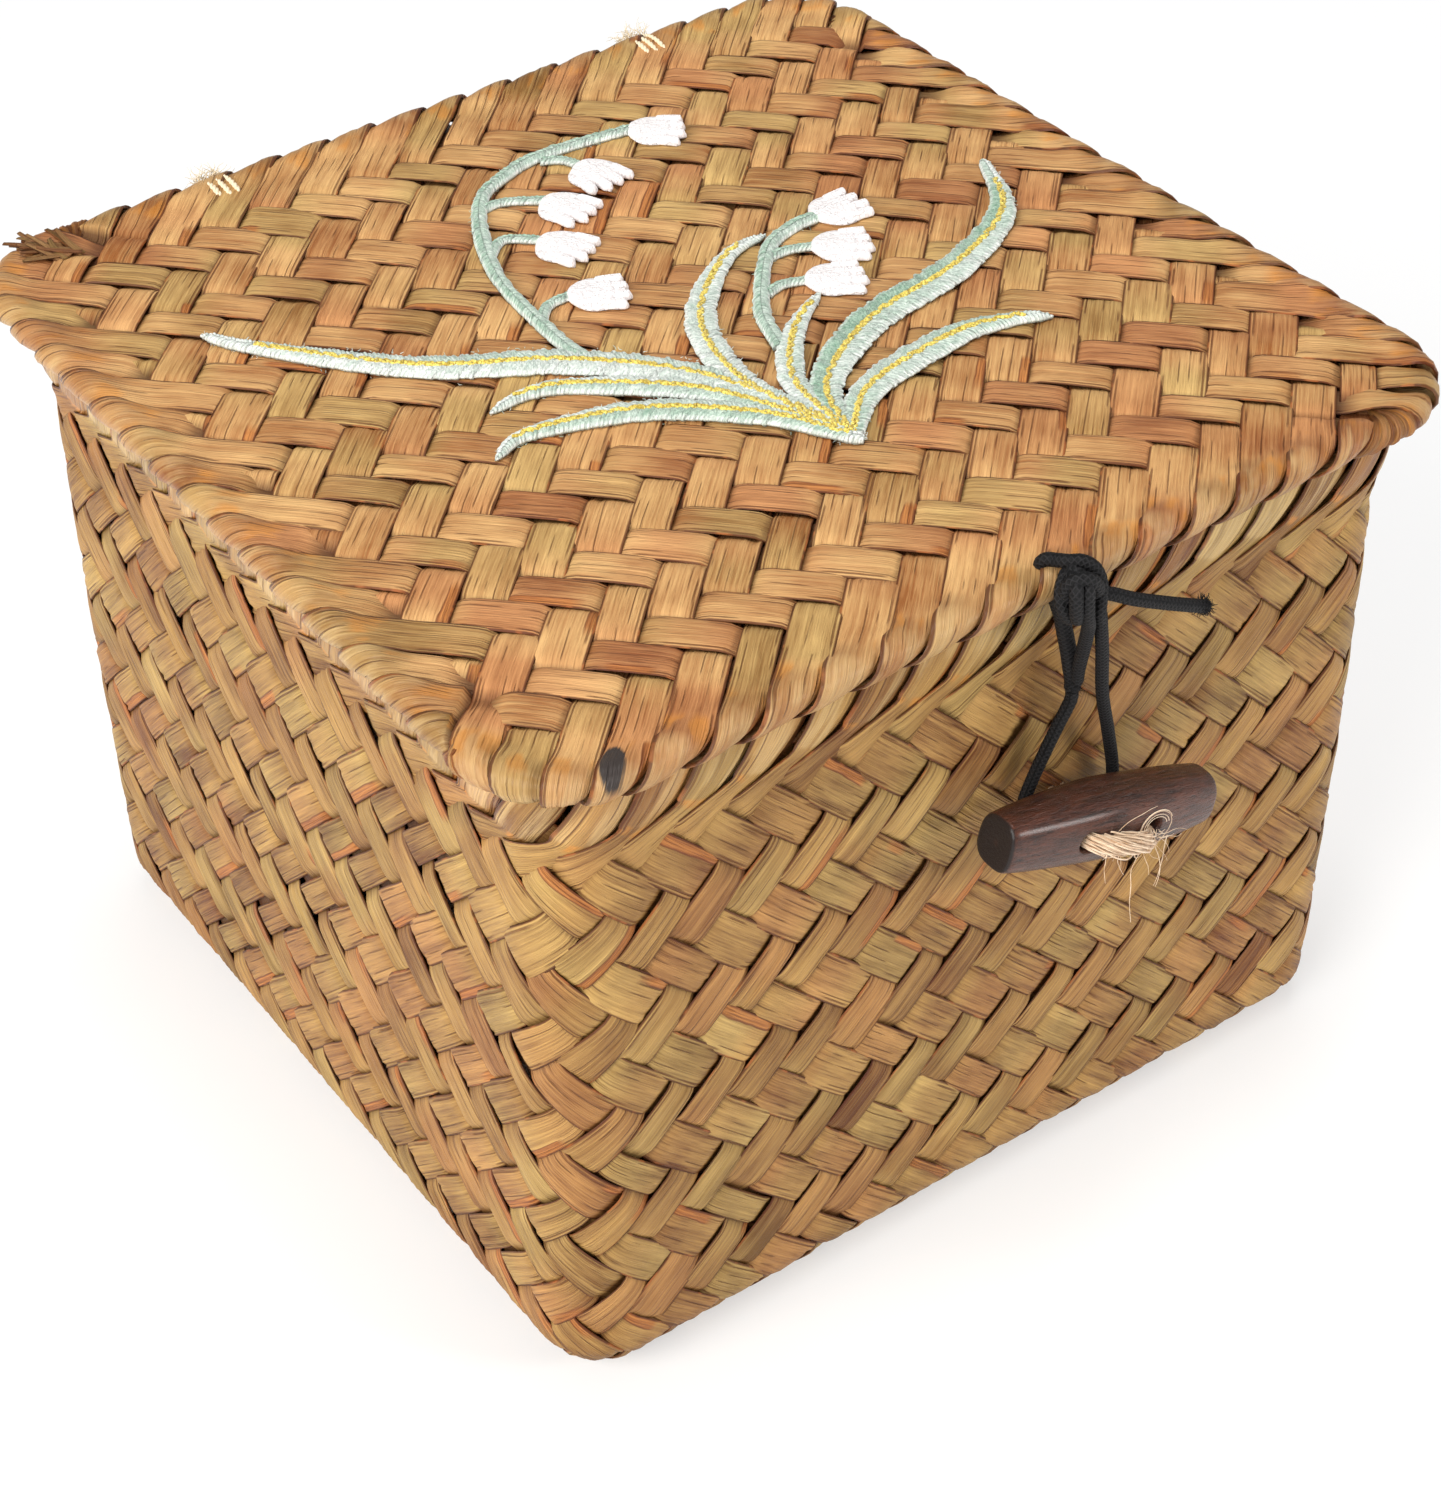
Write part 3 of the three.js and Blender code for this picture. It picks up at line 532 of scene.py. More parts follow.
class Graph:
    """Short way of writing the nodes of a material or a world."""

    def __init__(self, owner):
        self.owner = owner
        owner.use_nodes = True
        self.tree = owner.node_tree

    def put(self, socket, value):
        if isinstance(value, bpy.types.NodeSocket):
            self.tree.links.new(value, socket)
        elif value is not None:
            socket.default_value = value

    def shade(self, name, value):
        """Sets or drives one of the shader's inputs."""
        self.put(self.tree.nodes["Principled BSDF"].inputs[name], value)

    def node(self, kind, *values, **settings):
        node = self.tree.nodes.new(kind)
        for name, value in settings.items():
            setattr(node, name, value)
        for socket, value in zip(node.inputs, values):
            self.put(socket, value)
        return node

    def math(self, operation, *values):
        return self.node("ShaderNodeMath", *values, operation=operation).outputs[0]

    def plus(self, first, second):
        return self.math("ADD", first, second)

    def minus(self, first, second):
        return self.math("SUBTRACT", first, second)

    def times(self, first, second):
        return self.math("MULTIPLY", first, second)

    def size(self, value):
        return self.math("ABSOLUTE", value)

    def attribute(self, name):
        return self.split(self.node("ShaderNodeAttribute", attribute_name=name).outputs["Vector"])

    def split(self, vector):
        return self.node("ShaderNodeSeparateXYZ", vector).outputs

    def streaks(self, u, v, mark, along, across, detail=2.0, rough=0.5):
        """Noise that is stretched along a strand."""
        place = self.node("ShaderNodeCombineXYZ", self.times(u, along), self.times(v, across), mark)
        node = self.node("ShaderNodeTexNoise", place.outputs[0])
        for name, value in (("Scale", 1.0), ("Detail", detail), ("Roughness", rough)):
            self.put(node.inputs[name], value)
        return node.outputs["Fac"]

    def span(self, value, low, high, to_low=0.0, to_high=1.0):
        return self.node("ShaderNodeMapRange", value, low, high, to_low, to_high, clamp=True).outputs[0]

    def mix(self, share, first, second):
        """Blend of two colours. A tuple is red, green and blue in sRGB, from 0 to 255."""
        node = self.node("ShaderNodeMix", data_type="RGBA", blend_type="MIX")
        self.put(node.inputs[0], share)
        for socket, value in ((node.inputs[6], first), (node.inputs[7], second)):
            self.put(socket, srgb(*value) if isinstance(value, tuple) else value)
        return node.outputs[2]

    def bump(self, height, distance):
        node = self.node("ShaderNodeBump")
        for name, value in (("Strength", 1.0), ("Distance", distance), ("Height", height)):
            self.put(node.inputs[name], value)
        self.shade("Normal", node.outputs[0])


def material_graph(name):
    return Graph(bpy.data.materials.new(name))


# Rush colours, dark and light: basket, lid, straw and rust strands, peeled
# strips and edges; then burnt patches, painted sheen on wraps, cracks,
# painted shade in folds and where strands dip under, and the blot
OLIVE = (96, 54, 18), (188, 148, 86)
GOLDEN = (144, 88, 42), (216, 172, 114)
STRAW = (112, 86, 38), (196, 166, 102)
RUST = (114, 56, 26), (200, 128, 80)
PEELED = (112, 50, 16), (202, 130, 66)
EDGE = (78, 32, 10), (146, 80, 36)
PEELED_SIDE = (96, 38, 12)
BURNT = (206, 134, 52)
PAINTED_SHEEN = (222, 192, 138)
CRACK = (92, 44, 16)
FOLD_SHADE = (96, 46, 16)
GAP_SHADE = (66, 24, 4)
CHARCOAL = (56, 49, 46)


def rush_material(name, blot=False):
    """Dried rush: stretched fibres, lengthwise cracks, brown edges, and a colour for each strand, with
    painted shade in fold creases and where strands dip under, and painted sheen on glossy wraps. Tone is 0
    for the basket and 1 for the lid, and goes past them where a wrap is glossy."""
    g = material_graph(name)
    u, v, mark = g.attribute("fibre")
    tone, shade, height = g.attribute("tint")
    gloss = g.span(g.size(g.minus(tone, 0.5)), 0.5, 1.5)
    other = g.plus(mark, 31.7)
    fine = g.span(g.streaks(u, v, mark, 0.1, 12.0, 3.0, 0.6), 0.25, 0.75)
    broad = g.streaks(u, v, other, 0.04, 2.4)
    cloud = g.span(g.streaks(u, v, other, 0.08, 0.4, 3.0), 0.33, 0.67)
    # Glossy wraps are painted a little lighter here: painted sheen
    level = g.times(fine, 0.48)
    for part, weight in ((broad, 0.55), (shade, 0.5), (cloud, 0.3), (gloss, 0.04)):
        level = g.plus(level, g.times(part, weight))
    colour = rush_colour(g, u, mark, tone, g.span(level, 0.55, 1.3))
    colour = wrap_patches(g, colour, gloss, fine, g.streaks(u, v, other, 0.12, 1.3))
    crack = crack_share(g, u, v, mark)
    colour = g.mix(g.times(crack, 0.62), colour, CRACK)
    # Fold creases, darkened with painted shade
    fold = fold_shade_share(g, u, v, other)
    colour = g.mix(g.times(fold, 0.65), colour, FOLD_SHADE)
    colour = peeled_strip(g, colour, u, v, mark, fine, cloud)
    colour = dark_edges(g, colour, u, v, mark, gloss)
    # Painted shade: darker where a strand dips under its neighbours
    colour = g.mix(g.span(height, -0.6, 0.35, 0.75, 0.0), colour, GAP_SHADE)
    if blot:
        colour = g.mix(blot_share(g, fine), colour, CHARCOAL)
    g.shade("Base Color", colour)
    g.shade("Roughness", g.minus(g.span(fine, 0.0, 1.0, 0.44, 0.6), g.times(gloss, 0.18)))
    g.shade("Specular IOR Level", 0.24)
    g.bump(g.minus(g.times(fine, 0.6), g.times(g.math("MAXIMUM", crack, fold), 0.7)), 0.0003)
    return g.owner


def rush_colour(g, u, mark, tone, level):
    """Olive on the basket and golden on the lid, with straw and rust stretches."""
    colour = g.mix(g.span(tone, 0, 1), g.mix(level, *OLIVE), g.mix(level, *GOLDEN))
    hue = g.streaks(u, 0.0, g.times(mark, 2.3), 0.035, 1.0, 1.0)
    colour = g.mix(g.times(g.span(hue, 0.52, 0.62), 0.6), colour, g.mix(level, *STRAW))
    rust = g.times(g.span(hue, 0.47, 0.36), g.span(tone, 0, 1, 0.3, 0.6))
    return g.mix(rust, colour, g.mix(level, *RUST))


def wrap_patches(g, colour, gloss, fine, worn):
    """Burnt patches where a strand wraps an edge, and pale streaks of painted sheen near its crest."""
    burnt = g.times(g.span(gloss, 0.2, 0.45), g.span(gloss, 0.97, 0.8))
    burnt = g.times(burnt, g.span(worn, 0.5, 0.6, 0.0, 0.55))
    colour = g.mix(burnt, colour, BURNT)
    # Pale streaks near the crest of a wrap: painted sheen
    pale = g.times(g.span(gloss, 0.8, 1.0), g.span(worn, 0.52, 0.42, 0.0, 0.42))
    return g.mix(g.times(pale, g.span(fine, 0.2, 0.8, 0.5, 1.0)), colour, PAINTED_SHEEN)


def crack_share(g, u, v, mark):
    """Thin broken lines side by side along each strand."""
    wander = g.streaks(u, 0.0, mark, 0.012, 1.0, 1.0)
    row = g.plus(g.times(v, 2.4), g.plus(g.times(wander, 3.0), mark))
    cell = g.math("FLOOR", row)
    middle = g.size(g.minus(g.minus(row, cell), 0.5))
    broken = g.streaks(u, cell, mark, 0.1, 3.7, 1.0)
    return g.times(g.span(middle, 0.03, 0.075, 1.0, 0.0), g.span(broken, 0.52, 0.6))


def fold_shade_share(g, u, v, other):
    """Painted shade along fold creases near both edges of a strand."""
    fold = g.span(g.size(g.minus(g.size(v), 0.79)), 0.02, 0.05, 1.0, 0.0)
    return g.times(fold, g.span(g.streaks(u, v, other, 0.12, 1.0, 1.0), 0.46, 0.54))


def peeled_strip(g, colour, u, v, mark, fine, cloud):
    """Strip along one side of some strands where their skin has come off."""
    strip = g.streaks(u, 0.0, g.times(mark, 3.1), 0.03, 1.0, 1.0)
    side = g.plus(v, g.times(cloud, 0.2))
    strip = g.times(g.span(strip, 0.6, 0.62), g.span(side, 0.6, 0.64))
    peeled = g.mix(g.span(side, 0.72, 0.64), g.mix(fine, *PEELED), PEELED_SIDE)
    return g.mix(g.times(strip, 0.85), colour, peeled)


def dark_edges(g, colour, u, v, mark, gloss):
    """Broken brown line along both edges of a strand."""
    edge = g.span(g.plus(g.size(v), g.times(gloss, 0.05)), 0.89, 0.94)
    broken = g.span(g.streaks(u, v, mark, 0.3, 0.4), 0.56, 0.66)
    return g.mix(g.times(edge, 0.85), colour, g.mix(broken, *EDGE))


# Blot: its middle, slant, half width and half length, and the two heights
# between which it fades in, in metres
BLOT_X = -0.0716
BLOT_Y = -0.0834
BLOT_SLANT = -0.55
BLOT_WIDE = 0.0022
BLOT_LONG = 0.0034
BLOT_FOOT = 0.1275
BLOT_TOP = 0.129


def blot_share(g, ragged):
    """Charcoal blot on one wrap near the lid's front left corner."""
    x, y, z = g.split(g.node("ShaderNodeTexCoord").outputs["Object"])
    back = g.minus(y, BLOT_Y)
    wide = g.math("DIVIDE", g.plus(g.minus(x, BLOT_X), g.times(back, BLOT_SLANT)), BLOT_WIDE)
    long = g.math("DIVIDE", back, BLOT_LONG)
    far = g.plus(g.plus(g.times(wide, wide), g.times(long, long)), g.times(ragged, 0.5))
    return g.times(g.span(far, 1.35, 1.0), g.span(z, BLOT_FOOT, BLOT_TOP))


# Braid of the elastic: threads along each millimetre and round it
BRAID_ALONG = 8
BRAID_ROUND = 6


def elastic_material():
    g = material_graph("elastic_braid")
    u, v, mark = g.attribute("fibre")
    along, around = g.times(u, BRAID_ALONG), g.times(v, BRAID_ROUND)
    raised = g.math("MAXIMUM", g.math("SINE", g.plus(along, around)), g.math("SINE", g.minus(along, around)))
    grain = g.times(g.streaks(u, v, mark, 6.0, 9.0), 0.5)
    grain = g.plus(grain, g.span(raised, 0.1, 1.0, 0.0, 0.5))
    # Raised threads are painted lighter and the hollows between them darker: painted highlight and shade over
    # mottling along the cord
    g.shade("Base Color", g.mix(g.span(grain, 0.3, 0.9), (0, 0, 1), (34, 33, 35)))
    g.shade("Roughness", 0.62)
    g.shade("Specular IOR Level", 0.24)
    g.bump(grain, 0.00016)
    return g.owner


# Camera of the photograph: its place, its directions, and its focal length as
# a share of the picture's height
CAMERA_PLACE = (-234.5, -340.95, 384.5)
CAMERA_AHEAD = (0.44157784, 0.6316175, -0.63723492)
CAMERA_RIGHT = (0.81456831, -0.57997441, -0.0103991)
FOCAL_SHARE = 3059.9 / 1500
SENSOR = 36


def camera():
    data = bpy.data.cameras.new("camera")
    item = linked("camera", data)
    forward = Vector(CAMERA_AHEAD).normalized()
    right = Vector(CAMERA_RIGHT).normalized()
    turn = Matrix((right, right.cross(forward), -forward)).transposed().to_4x4()
    item.matrix_world = Matrix.Translation(Vector(CAMERA_PLACE) * MM) @ turn
    data.sensor_width = SENSOR
    data.sensor_fit = "AUTO"
    data.lens = FOCAL_SHARE * SENSOR
    data.clip_start = 0.01
    data.clip_end = 20
    bpy.context.scene.camera = item


# Studio, in metres: each lamp's name, place, size, power and colour, what all
# aim at, and the floor, which fades to white between two distances
LAMPS = [
    ("left", (-1.15, -0.3, 0.75), 1.1, 24, (1, 0.98, 0.95)),
    ("front", (0.75, -1.05, 0.5), 0.35, 7.5, (1, 0.99, 0.97)),
    ("top", (0.1, 0.1, 1.4), 0.6, 8, (1, 1, 1)),
]
AIM = Vector((0, 0, 0.06))
WHITE = (1, 1, 1, 1)
FLOOR_COLOUR = (0.95, 0.95, 0.95, 1)
FLOOR_REACH = 3.0
FADE = (0.12, 0.45)
SKY_LIGHT = 0.36


def area_light(name, place, size, power, colour):
    data = bpy.data.lights.new(name, "AREA")
    data.shape = "DISK"
    data.size = size
    data.energy = power
    data.color = colour
    item = linked(name, data)
    item.location = Vector(place)
    item.rotation_euler = (AIM - Vector(place)).to_track_quat("-Z", "Y").to_euler()


def floor_material():
    """White floor that fades into the white background away from the box."""
    g = material_graph("floor_white")
    g.shade("Base Color", FLOOR_COLOUR)
    g.shade("Roughness", 0.9)
    x, y, _ = g.split(g.node("ShaderNodeTexCoord").outputs["Object"])
    away = g.math("SQRT", g.plus(g.times(x, x), g.times(y, y)))
    share = g.times(g.span(away, *FADE, 0.45, 1.0), g.node("ShaderNodeLightPath").outputs["Is Camera Ray"])
    surface = g.tree.nodes["Principled BSDF"]
    glow = g.node("ShaderNodeEmission", WHITE, 1.0)
    blend = g.node("ShaderNodeMixShader", share, surface.outputs[0], glow.outputs[0])
    g.put(g.tree.nodes["Material Output"].inputs[0], blend.outputs[0])
    return g.owner


def studio():
    world = bpy.data.worlds.new("studio")
    bpy.context.scene.world = world
    g = Graph(world)
    sky = g.tree.nodes["Background"]
    g.put(sky.inputs["Color"], WHITE)
    g.put(sky.inputs["Strength"], SKY_LIGHT)
    plain = g.node("ShaderNodeBackground", WHITE, 1.0)
    seen = g.node("ShaderNodeLightPath").outputs["Is Camera Ray"]
    blend = g.node("ShaderNodeMixShader", seen, sky.outputs[0], plain.outputs[0])
    g.put(g.tree.nodes["World Output"].inputs[0], blend.outputs[0])
    for lamp in LAMPS:
        area_light(*lamp)
    mesh = bpy.data.meshes.new("floor")
    corners = [(x * FLOOR_REACH, y * FLOOR_REACH, 0) for x, y in ((-1, -1), (1, -1), (1, 1), (-1, 1))]
    mesh.from_pydata(corners, [], [(0, 1, 2, 3)])
    mesh.materials.append(floor_material())
    item = linked("floor", mesh)
    bpy.context.scene.view_settings.view_transform = "Standard"


# Route of the elastic loop, from under the knot round the toggle's twine
LOOP_ROUTE = [
    (6.7, -89.85, 123.9), (9.2, -88.2, 115.5), (12, -86.1, 105), (15.6, -84.2, 95.2), (18.6, -82.7, 86.3),
    (19.2, -82.3, 82.3), (18.2, -82.3, 80.5), (16.4, -82.3, 79.4), (14.3, -82.3, 79.4), (9.4, -82.3, 80.7),
    (4.5, -82.3, 82), (2.7, -82.3, 83), (1.6, -82.3, 84.8), (1.6, -82.3, 86.9), (3.2, -82.5, 91.5),
    (5.8, -83.3, 98.8), (7.6, -83.8, 103.2), (8, -83.9, 104.6), (8, -83.9, 105.9),
]
ELASTIC = 2.0


def cord_rings(line, radius, sides, relief=0.0):
    """Rings of a tube along a line, without twist."""
    ahead = headings(line)
    side = np.cross(ahead[0], [0.3, 0.5, 0.8])
    sides_of = []
    for row in ahead:
        side = side - row * np.dot(side, row)
        side = side / np.linalg.norm(side)
        sides_of.append(side)
    first = np.array(sides_of)
    second = np.cross(ahead, first)
    angle = np.arange(sides) * 2 * math.pi / sides
    size = np.broadcast_to(np.asarray(radius, float), (len(line),))[:, None] * np.ones(sides) + relief
    return (line[:, None] + first[:, None] * (np.cos(angle) * size)[..., None]
            + second[:, None] * (np.sin(angle) * size)[..., None])


def braided(skin, route, diameter, mark):
    """Elastic cord with the raised threads of its braided cover."""
    line, at = through(route, 0.14)
    sides = 24
    angle = np.arange(sides) * 2 * math.pi / sides
    one = np.sin(BRAID_ROUND * angle[None] + at[:, None] * BRAID_ALONG)
    two = np.sin(at[:, None] * BRAID_ALONG - BRAID_ROUND * angle[None])
    rings = cord_rings(line, diameter / 2 - 0.03, sides, 0.05 * np.maximum(one, two))
    skin.tube(rings, (at[:, None], angle, mark))
    return float(at[-1])


# Thread colours, dark and light, and the shade between stitches
MINT = (100, 138, 114), (176, 204, 182)
PALE = (184, 195, 187), (234, 236, 231)
PETAL = (226, 219, 219), (245, 240, 239)
GOLD = (172, 140, 24), (255, 234, 112)
STITCH_SHADE = (98, 116, 98)


def satin_material():
    """Embroidery thread: mint, pale, petal white or gold by the tint of each stitch."""
    g = material_graph("satin_thread")
    u, v, mark = g.attribute("fibre")
    green, gold, level = g.attribute("tint")
    hair = g.span(g.streaks(u, v, mark, 2.6, 0.4, 1.0), 0.3, 0.7)
    colour = g.mix(green, g.mix(hair, *PALE), g.mix(hair, *MINT))
    colour = g.mix(g.span(green, -0.5, -1), colour, g.mix(hair, *PETAL))
    # Bright and dark stretches of the gold thread are painted glints
    glint = g.span(g.streaks(u, v, mark, 0.8, 1.0, 3.0), 0.38, 0.62)
    colour = g.mix(gold, colour, g.mix(glint, *GOLD))
    colour = g.mix(g.span(level, 0.25, 0.7, 0.6, 0.0), colour, STITCH_SHADE)
    g.shade("Base Color", colour)
    g.shade("Roughness", g.span(gold, 0, 1, 0.55, 0.34))
    g.shade("Metallic", g.times(gold, 0.1))
    g.shade("Sheen Weight", 0.2)
    g.bump(hair, 0.00016)
    return g.owner


# Embroidered spray: place on the lid, and its leaves tip first, each with its
# half width, how green its left and right halves are, and its line as shares
SPRAY_LEFT = -65.2
SPRAY_BOTTOM = -42.6
SPRAY_WIDTH = 133.5
SPRAY_HEIGHT = 100.6
SPRAY_LEVEL = 130.35
STITCH = 0.74
LEAVES = [
    (3.4, 0.4, 0.15, [(0, 0.836), (0.037, 0.752), (0.169, 0.553), (0.309, 0.435), (0.412, 0.292),
                       (0.468, 0.12), (0.482, 0.012)]),
    (2.6, 0.2, 0.55, [(0.185, 0.383), (0.243, 0.391), (0.3, 0.36), (0.403, 0.242), (0.474, 0.06)]),
    (2.7, 0.3, 0.7, [(0.14, 0.273), (0.197, 0.298), (0.328, 0.248), (0.431, 0.13), (0.482, 0.012)]),
    (2.7, 0.15, 0.2, [(0.669, 0.563), (0.59, 0.534), (0.487, 0.404), (0.451, 0.23), (0.478, 0.04)]),
    (2.2, 0.25, 0.1, [(0.641, 0.366), (0.571, 0.304), (0.52, 0.23), (0.492, 0.155), (0.485, 0.03)]),
    (3.5, 0.4, 0.95, [(1, 0.547), (0.936, 0.391), (0.805, 0.298), (0.646, 0.248), (0.524, 0.143),
                     (0.485, 0.02)]),
    (3.1, 0.45, 0.55, [(0.829, 0.093), (0.777, 0.124), (0.702, 0.137), (0.562, 0.099), (0.485, 0.012)]),
]
STEMS = [
    [(0.335, 0.42), (0.332, 0.503), (0.351, 0.714), (0.421, 0.913), (0.496, 0.981), (0.571, 1),
     (0.69, 0.985)],
    [(0.53, 0.27), (0.562, 0.379), (0.646, 0.516), (0.702, 0.553), (0.745, 0.559)],
]
BRANCHES = [
    [(0.545, 0.985), (0.57, 0.965), (0.582, 0.93)],
    [(0.412, 0.9), (0.45, 0.905), (0.497, 0.868)],
    [(0.358, 0.755), (0.4, 0.8), (0.439, 0.765)],
    [(0.332, 0.545), (0.362, 0.586), (0.4, 0.592)],
    [(0.64, 0.5), (0.67, 0.5), (0.7, 0.485)],
    [(0.585, 0.41), (0.615, 0.42), (0.645, 0.407)],
]
BELLS = [
    (0.679, 0.99, -39), (0.582, 0.94, -86), (0.496, 0.875, -72), (0.438, 0.77, -67), (0.391, 0.595, -29),
    (0.736, 0.559, -2), (0.693, 0.488, -32), (0.639, 0.41, -30),
]
BELL_LENGTH = 10.4
BELL_WIDTH = 10.0


def spray_line(shares, step):
    places = [(SPRAY_LEFT + u * SPRAY_WIDTH, SPRAY_BOTTOM + v * SPRAY_HEIGHT, 0) for u, v in shares]
    return through(places, step)


def stitches(coordinate):
    """Rounded ridge of each stitch, and a number from 0 to 1 that belongs to the stitch."""
    number = np.floor(coordinate / STITCH)
    own = np.abs(np.sin(number * 12.9898) * 43758.5453) % 1
    ridge = np.sqrt(np.abs(np.sin(math.pi * coordinate / STITCH)))
    return ridge, own


def satin_ribbon(skin, line, at, half, greens, height, slant, level=SPRAY_LEVEL):
    """Two rows of satin stitches that meet along a line, with a ragged edge."""
    half = half[:, None]
    top = np.array([1.0, 0.97, 0.88, 0.72, 0.5, 0.28, 0.1, 0.0, -0.1, -0.28, -0.5, -0.72, -0.88, -0.97, -1.0])
    across = np.concatenate([top, [-0.9, 0.0, 0.9]])
    is_top = np.arange(across.size) < top.size
    along = at[:, None] + slant * np.abs(across) * half + 31 * (across > 0)
    ridge, own = stitches(along)
    ragged = 1 + (own - 0.5) * 0.16 * (np.abs(across) > 0.8)
    reach = across * half * ragged
    crown = (1 - np.abs(across) ** 4.5) * (1 - 0.16 * np.exp(-(across / 0.14) ** 2))
    narrow = np.clip(half / 1.2, 0.3, 1)
    relief = height * narrow * (0.25 + 0.75 * crown) + 0.3 * ridge * (0.5 + 0.8 * own)
    points = line[:, None] + sideways(line)[:, None] * reach[..., None]
    points[..., 2] = level + np.where(is_top, relief, 0)
    green = np.where(across > 0, greens[0][:, None], greens[1][:, None])
    green = np.clip(green + 0.3 * (own - 0.5) - 0.5 * (np.abs(across) > 0.8), 0, 1)
    level_tint = np.where(is_top, 0.25 + 0.7 * ridge, 0)
    skin.tube(points, (along, across * half * 3, own * 9), (green, 0, level_tint))


def gold_line(skin, line, at, level):
    """Three thin gold threads that wind about a line."""
    side = sideways(line)
    for turn in (0, 2.1, 4.2):
        angle = at * 2 * math.pi / (2.5 + 0.2 * turn) + turn + 0.5 * np.sin(at / 3.1 + turn)
        spread = 0.4 + 0.06 * np.sin(at * 0.9 + turn)
        path = line + side * (spread * np.cos(angle))[:, None]
        path[:, 2] = level + 0.14 * np.sin(angle) + 0.08 * np.sin(at * 5.1 + turn)
        rings = cord_rings(path, 0.19 + 0.11 * np.abs(np.sin(at * 2.3 + turn)), 6)
        skin.tube(rings, (at[:, None] * 3, turn, 2), (0.2, 1.0, 1.0))


def petal_shape(skin, foot, ahead, start, stop, aside, widths, height):
    """Flat rounded shape of stitches along a bell: from start to stop along it, aside of its middle line."""
    side = np.array([-ahead[1], ahead[0]])
    share = np.linspace(0, 1, 34)[:, None]
    along = start + (stop - start) * share
    half = np.interp(share, np.linspace(0, 1, len(widths)), widths)
    half = half * np.sqrt(np.clip((1 - share) * 7, 0.02, 1))
    across = np.concatenate([[-0.6, 0.0, 0.6], np.linspace(1, -1, 33)])
    is_top = np.arange(across.size) > 2
    wide = aside[0] + (aside[1] - aside[0]) * share + half * across
    ridge, own = stitches(wide * 1.2 + 40 + 0.1 * np.sin(along * 3))
    crown = (1 - np.abs(across) ** 4) * np.clip(share * 8 + 0.2, 0, 1) * np.clip((1.02 - share) * 9, 0.1, 1)
    z = np.where(is_top, 0.25 + height * crown + 0.05 * ridge * (0.5 + own), 0)
    x = foot[0] + ahead[0] * along + side[0] * wide
    y = foot[1] + ahead[1] * along + side[1] * wide
    skin.tube(np.stack([x, y, SPRAY_LEVEL + z], -1), (along, wide * 3, own * 9), (-1, 0, 0.66 + 0.34 * ridge))


def bell(skin, u, v, heading):
    """White flower: a rounded bell with four lobes that spread at its mouth."""
    foot = np.array([SPRAY_LEFT + u * SPRAY_WIDTH, SPRAY_BOTTOM + v * SPRAY_HEIGHT])
    turn = math.radians(heading)
    ahead = np.array([math.cos(turn), math.sin(turn)])
    reach = BELL_WIDTH / 2
    petal_shape(skin, foot, ahead, 0, 0.8 * BELL_LENGTH, (0, 0),
                reach * np.array([0.1, 0.5, 0.78, 0.93, 1.0, 1.0, 0.97, 0.92, 0.8]), 1.05)
    for place, tip in ((-0.72, 0.95), (-0.25, 1.03), (0.25, 0.99), (0.72, 0.93)):
        petal_shape(skin, foot, ahead, 0.45 * BELL_LENGTH, tip * BELL_LENGTH,
                    (place * reach * 0.9, place * reach * (1.12 + 0.04 * rng.normal())),
                    reach * np.array([0.22, 0.24, 0.23, 0.2]), 1.1)


def spray(skin):
    for number, (half_width, left, right, shares) in enumerate(LEAVES):
        line, at = spray_line(shares, STITCH / 4.3)
        share = at / at[-1]
        half = half_width * np.sin(math.pi * (0.08 + 0.76 * share)) * np.sqrt(np.clip(at / 2.2, 0.02, 1))
        tip = -0.4 * smooth((0.16 - share) / 0.1)
        wander = 0.25 * np.sin(at / 6 + number)
        greens = [np.clip(value + wander * 0.4 + tip, 0, 1) for value in (left, right)]
        satin_ribbon(skin, line, at, half, greens, 1.0, 0.55, SPRAY_LEVEL + 0.02 * number)
        leaf_fuzz(skin, line, half, greens)
        vein = share > 0.09
        gold_line(skin, line[vein][::3], at[vein][::3], SPRAY_LEVEL + (1.12 + 0.02 * number))
    for shares in STEMS:
        line, at = spray_line(shares, STITCH / 4.3)
        greens = [np.full(at.size, 0.8), np.full(at.size, 0.55)]
        half = 1.35 + 0.1 * np.sin(at / 5)
        satin_ribbon(skin, line, at, half, greens, 0.95, 0.8)
        leaf_fuzz(skin, line, half, greens)
    for shares in BRANCHES:
        line, at = spray_line(shares, STITCH / 4.3)
        greens = [np.full(at.size, 0.9), np.full(at.size, 0.6)]
        satin_ribbon(skin, line, at, np.full(at.size, 1.05), greens, 0.85, 0.8)
    for u, v, heading in BELLS:
        bell(skin, u, v, heading)
    base = np.array([SPRAY_LEFT + 0.484 * SPRAY_WIDTH, SPRAY_BOTTOM + 0.01 * SPRAY_HEIGHT, 0])
    line = np.array([base + (d * 0.16 - 1.2, -d * 0.17 + 0.8, 0) for d in range(15)])
    at = np.arange(15) * 0.35
    line, at = through(line, STITCH / 4.3)
    pale = [np.zeros(at.size), np.zeros(at.size)]
    satin_ribbon(skin, line, at, 1.2 * np.sin(math.pi * (0.2 + 0.6 * at / at[-1])), pale, 1.2, 0.5)
    for _ in range(60):
        start = base + (rng.uniform(0, 1.4), rng.uniform(-1.8, 0.2), SPRAY_LEVEL + 0.5)
        stray_thread(skin, start, (rng.normal() + 0.5, rng.normal() - 0.6, 0.5), 0.0)


def stray_thread(skin, start, heading, green):
    """Short loose fibre of embroidery thread."""
    rings = hair(Skin(), start, heading, rng.uniform(0.5, 1.0), 0.4, 0.065)
    skin.tube(rings, (1, 1, rng.uniform(0, 9)), (green, 0.0, 1.0))


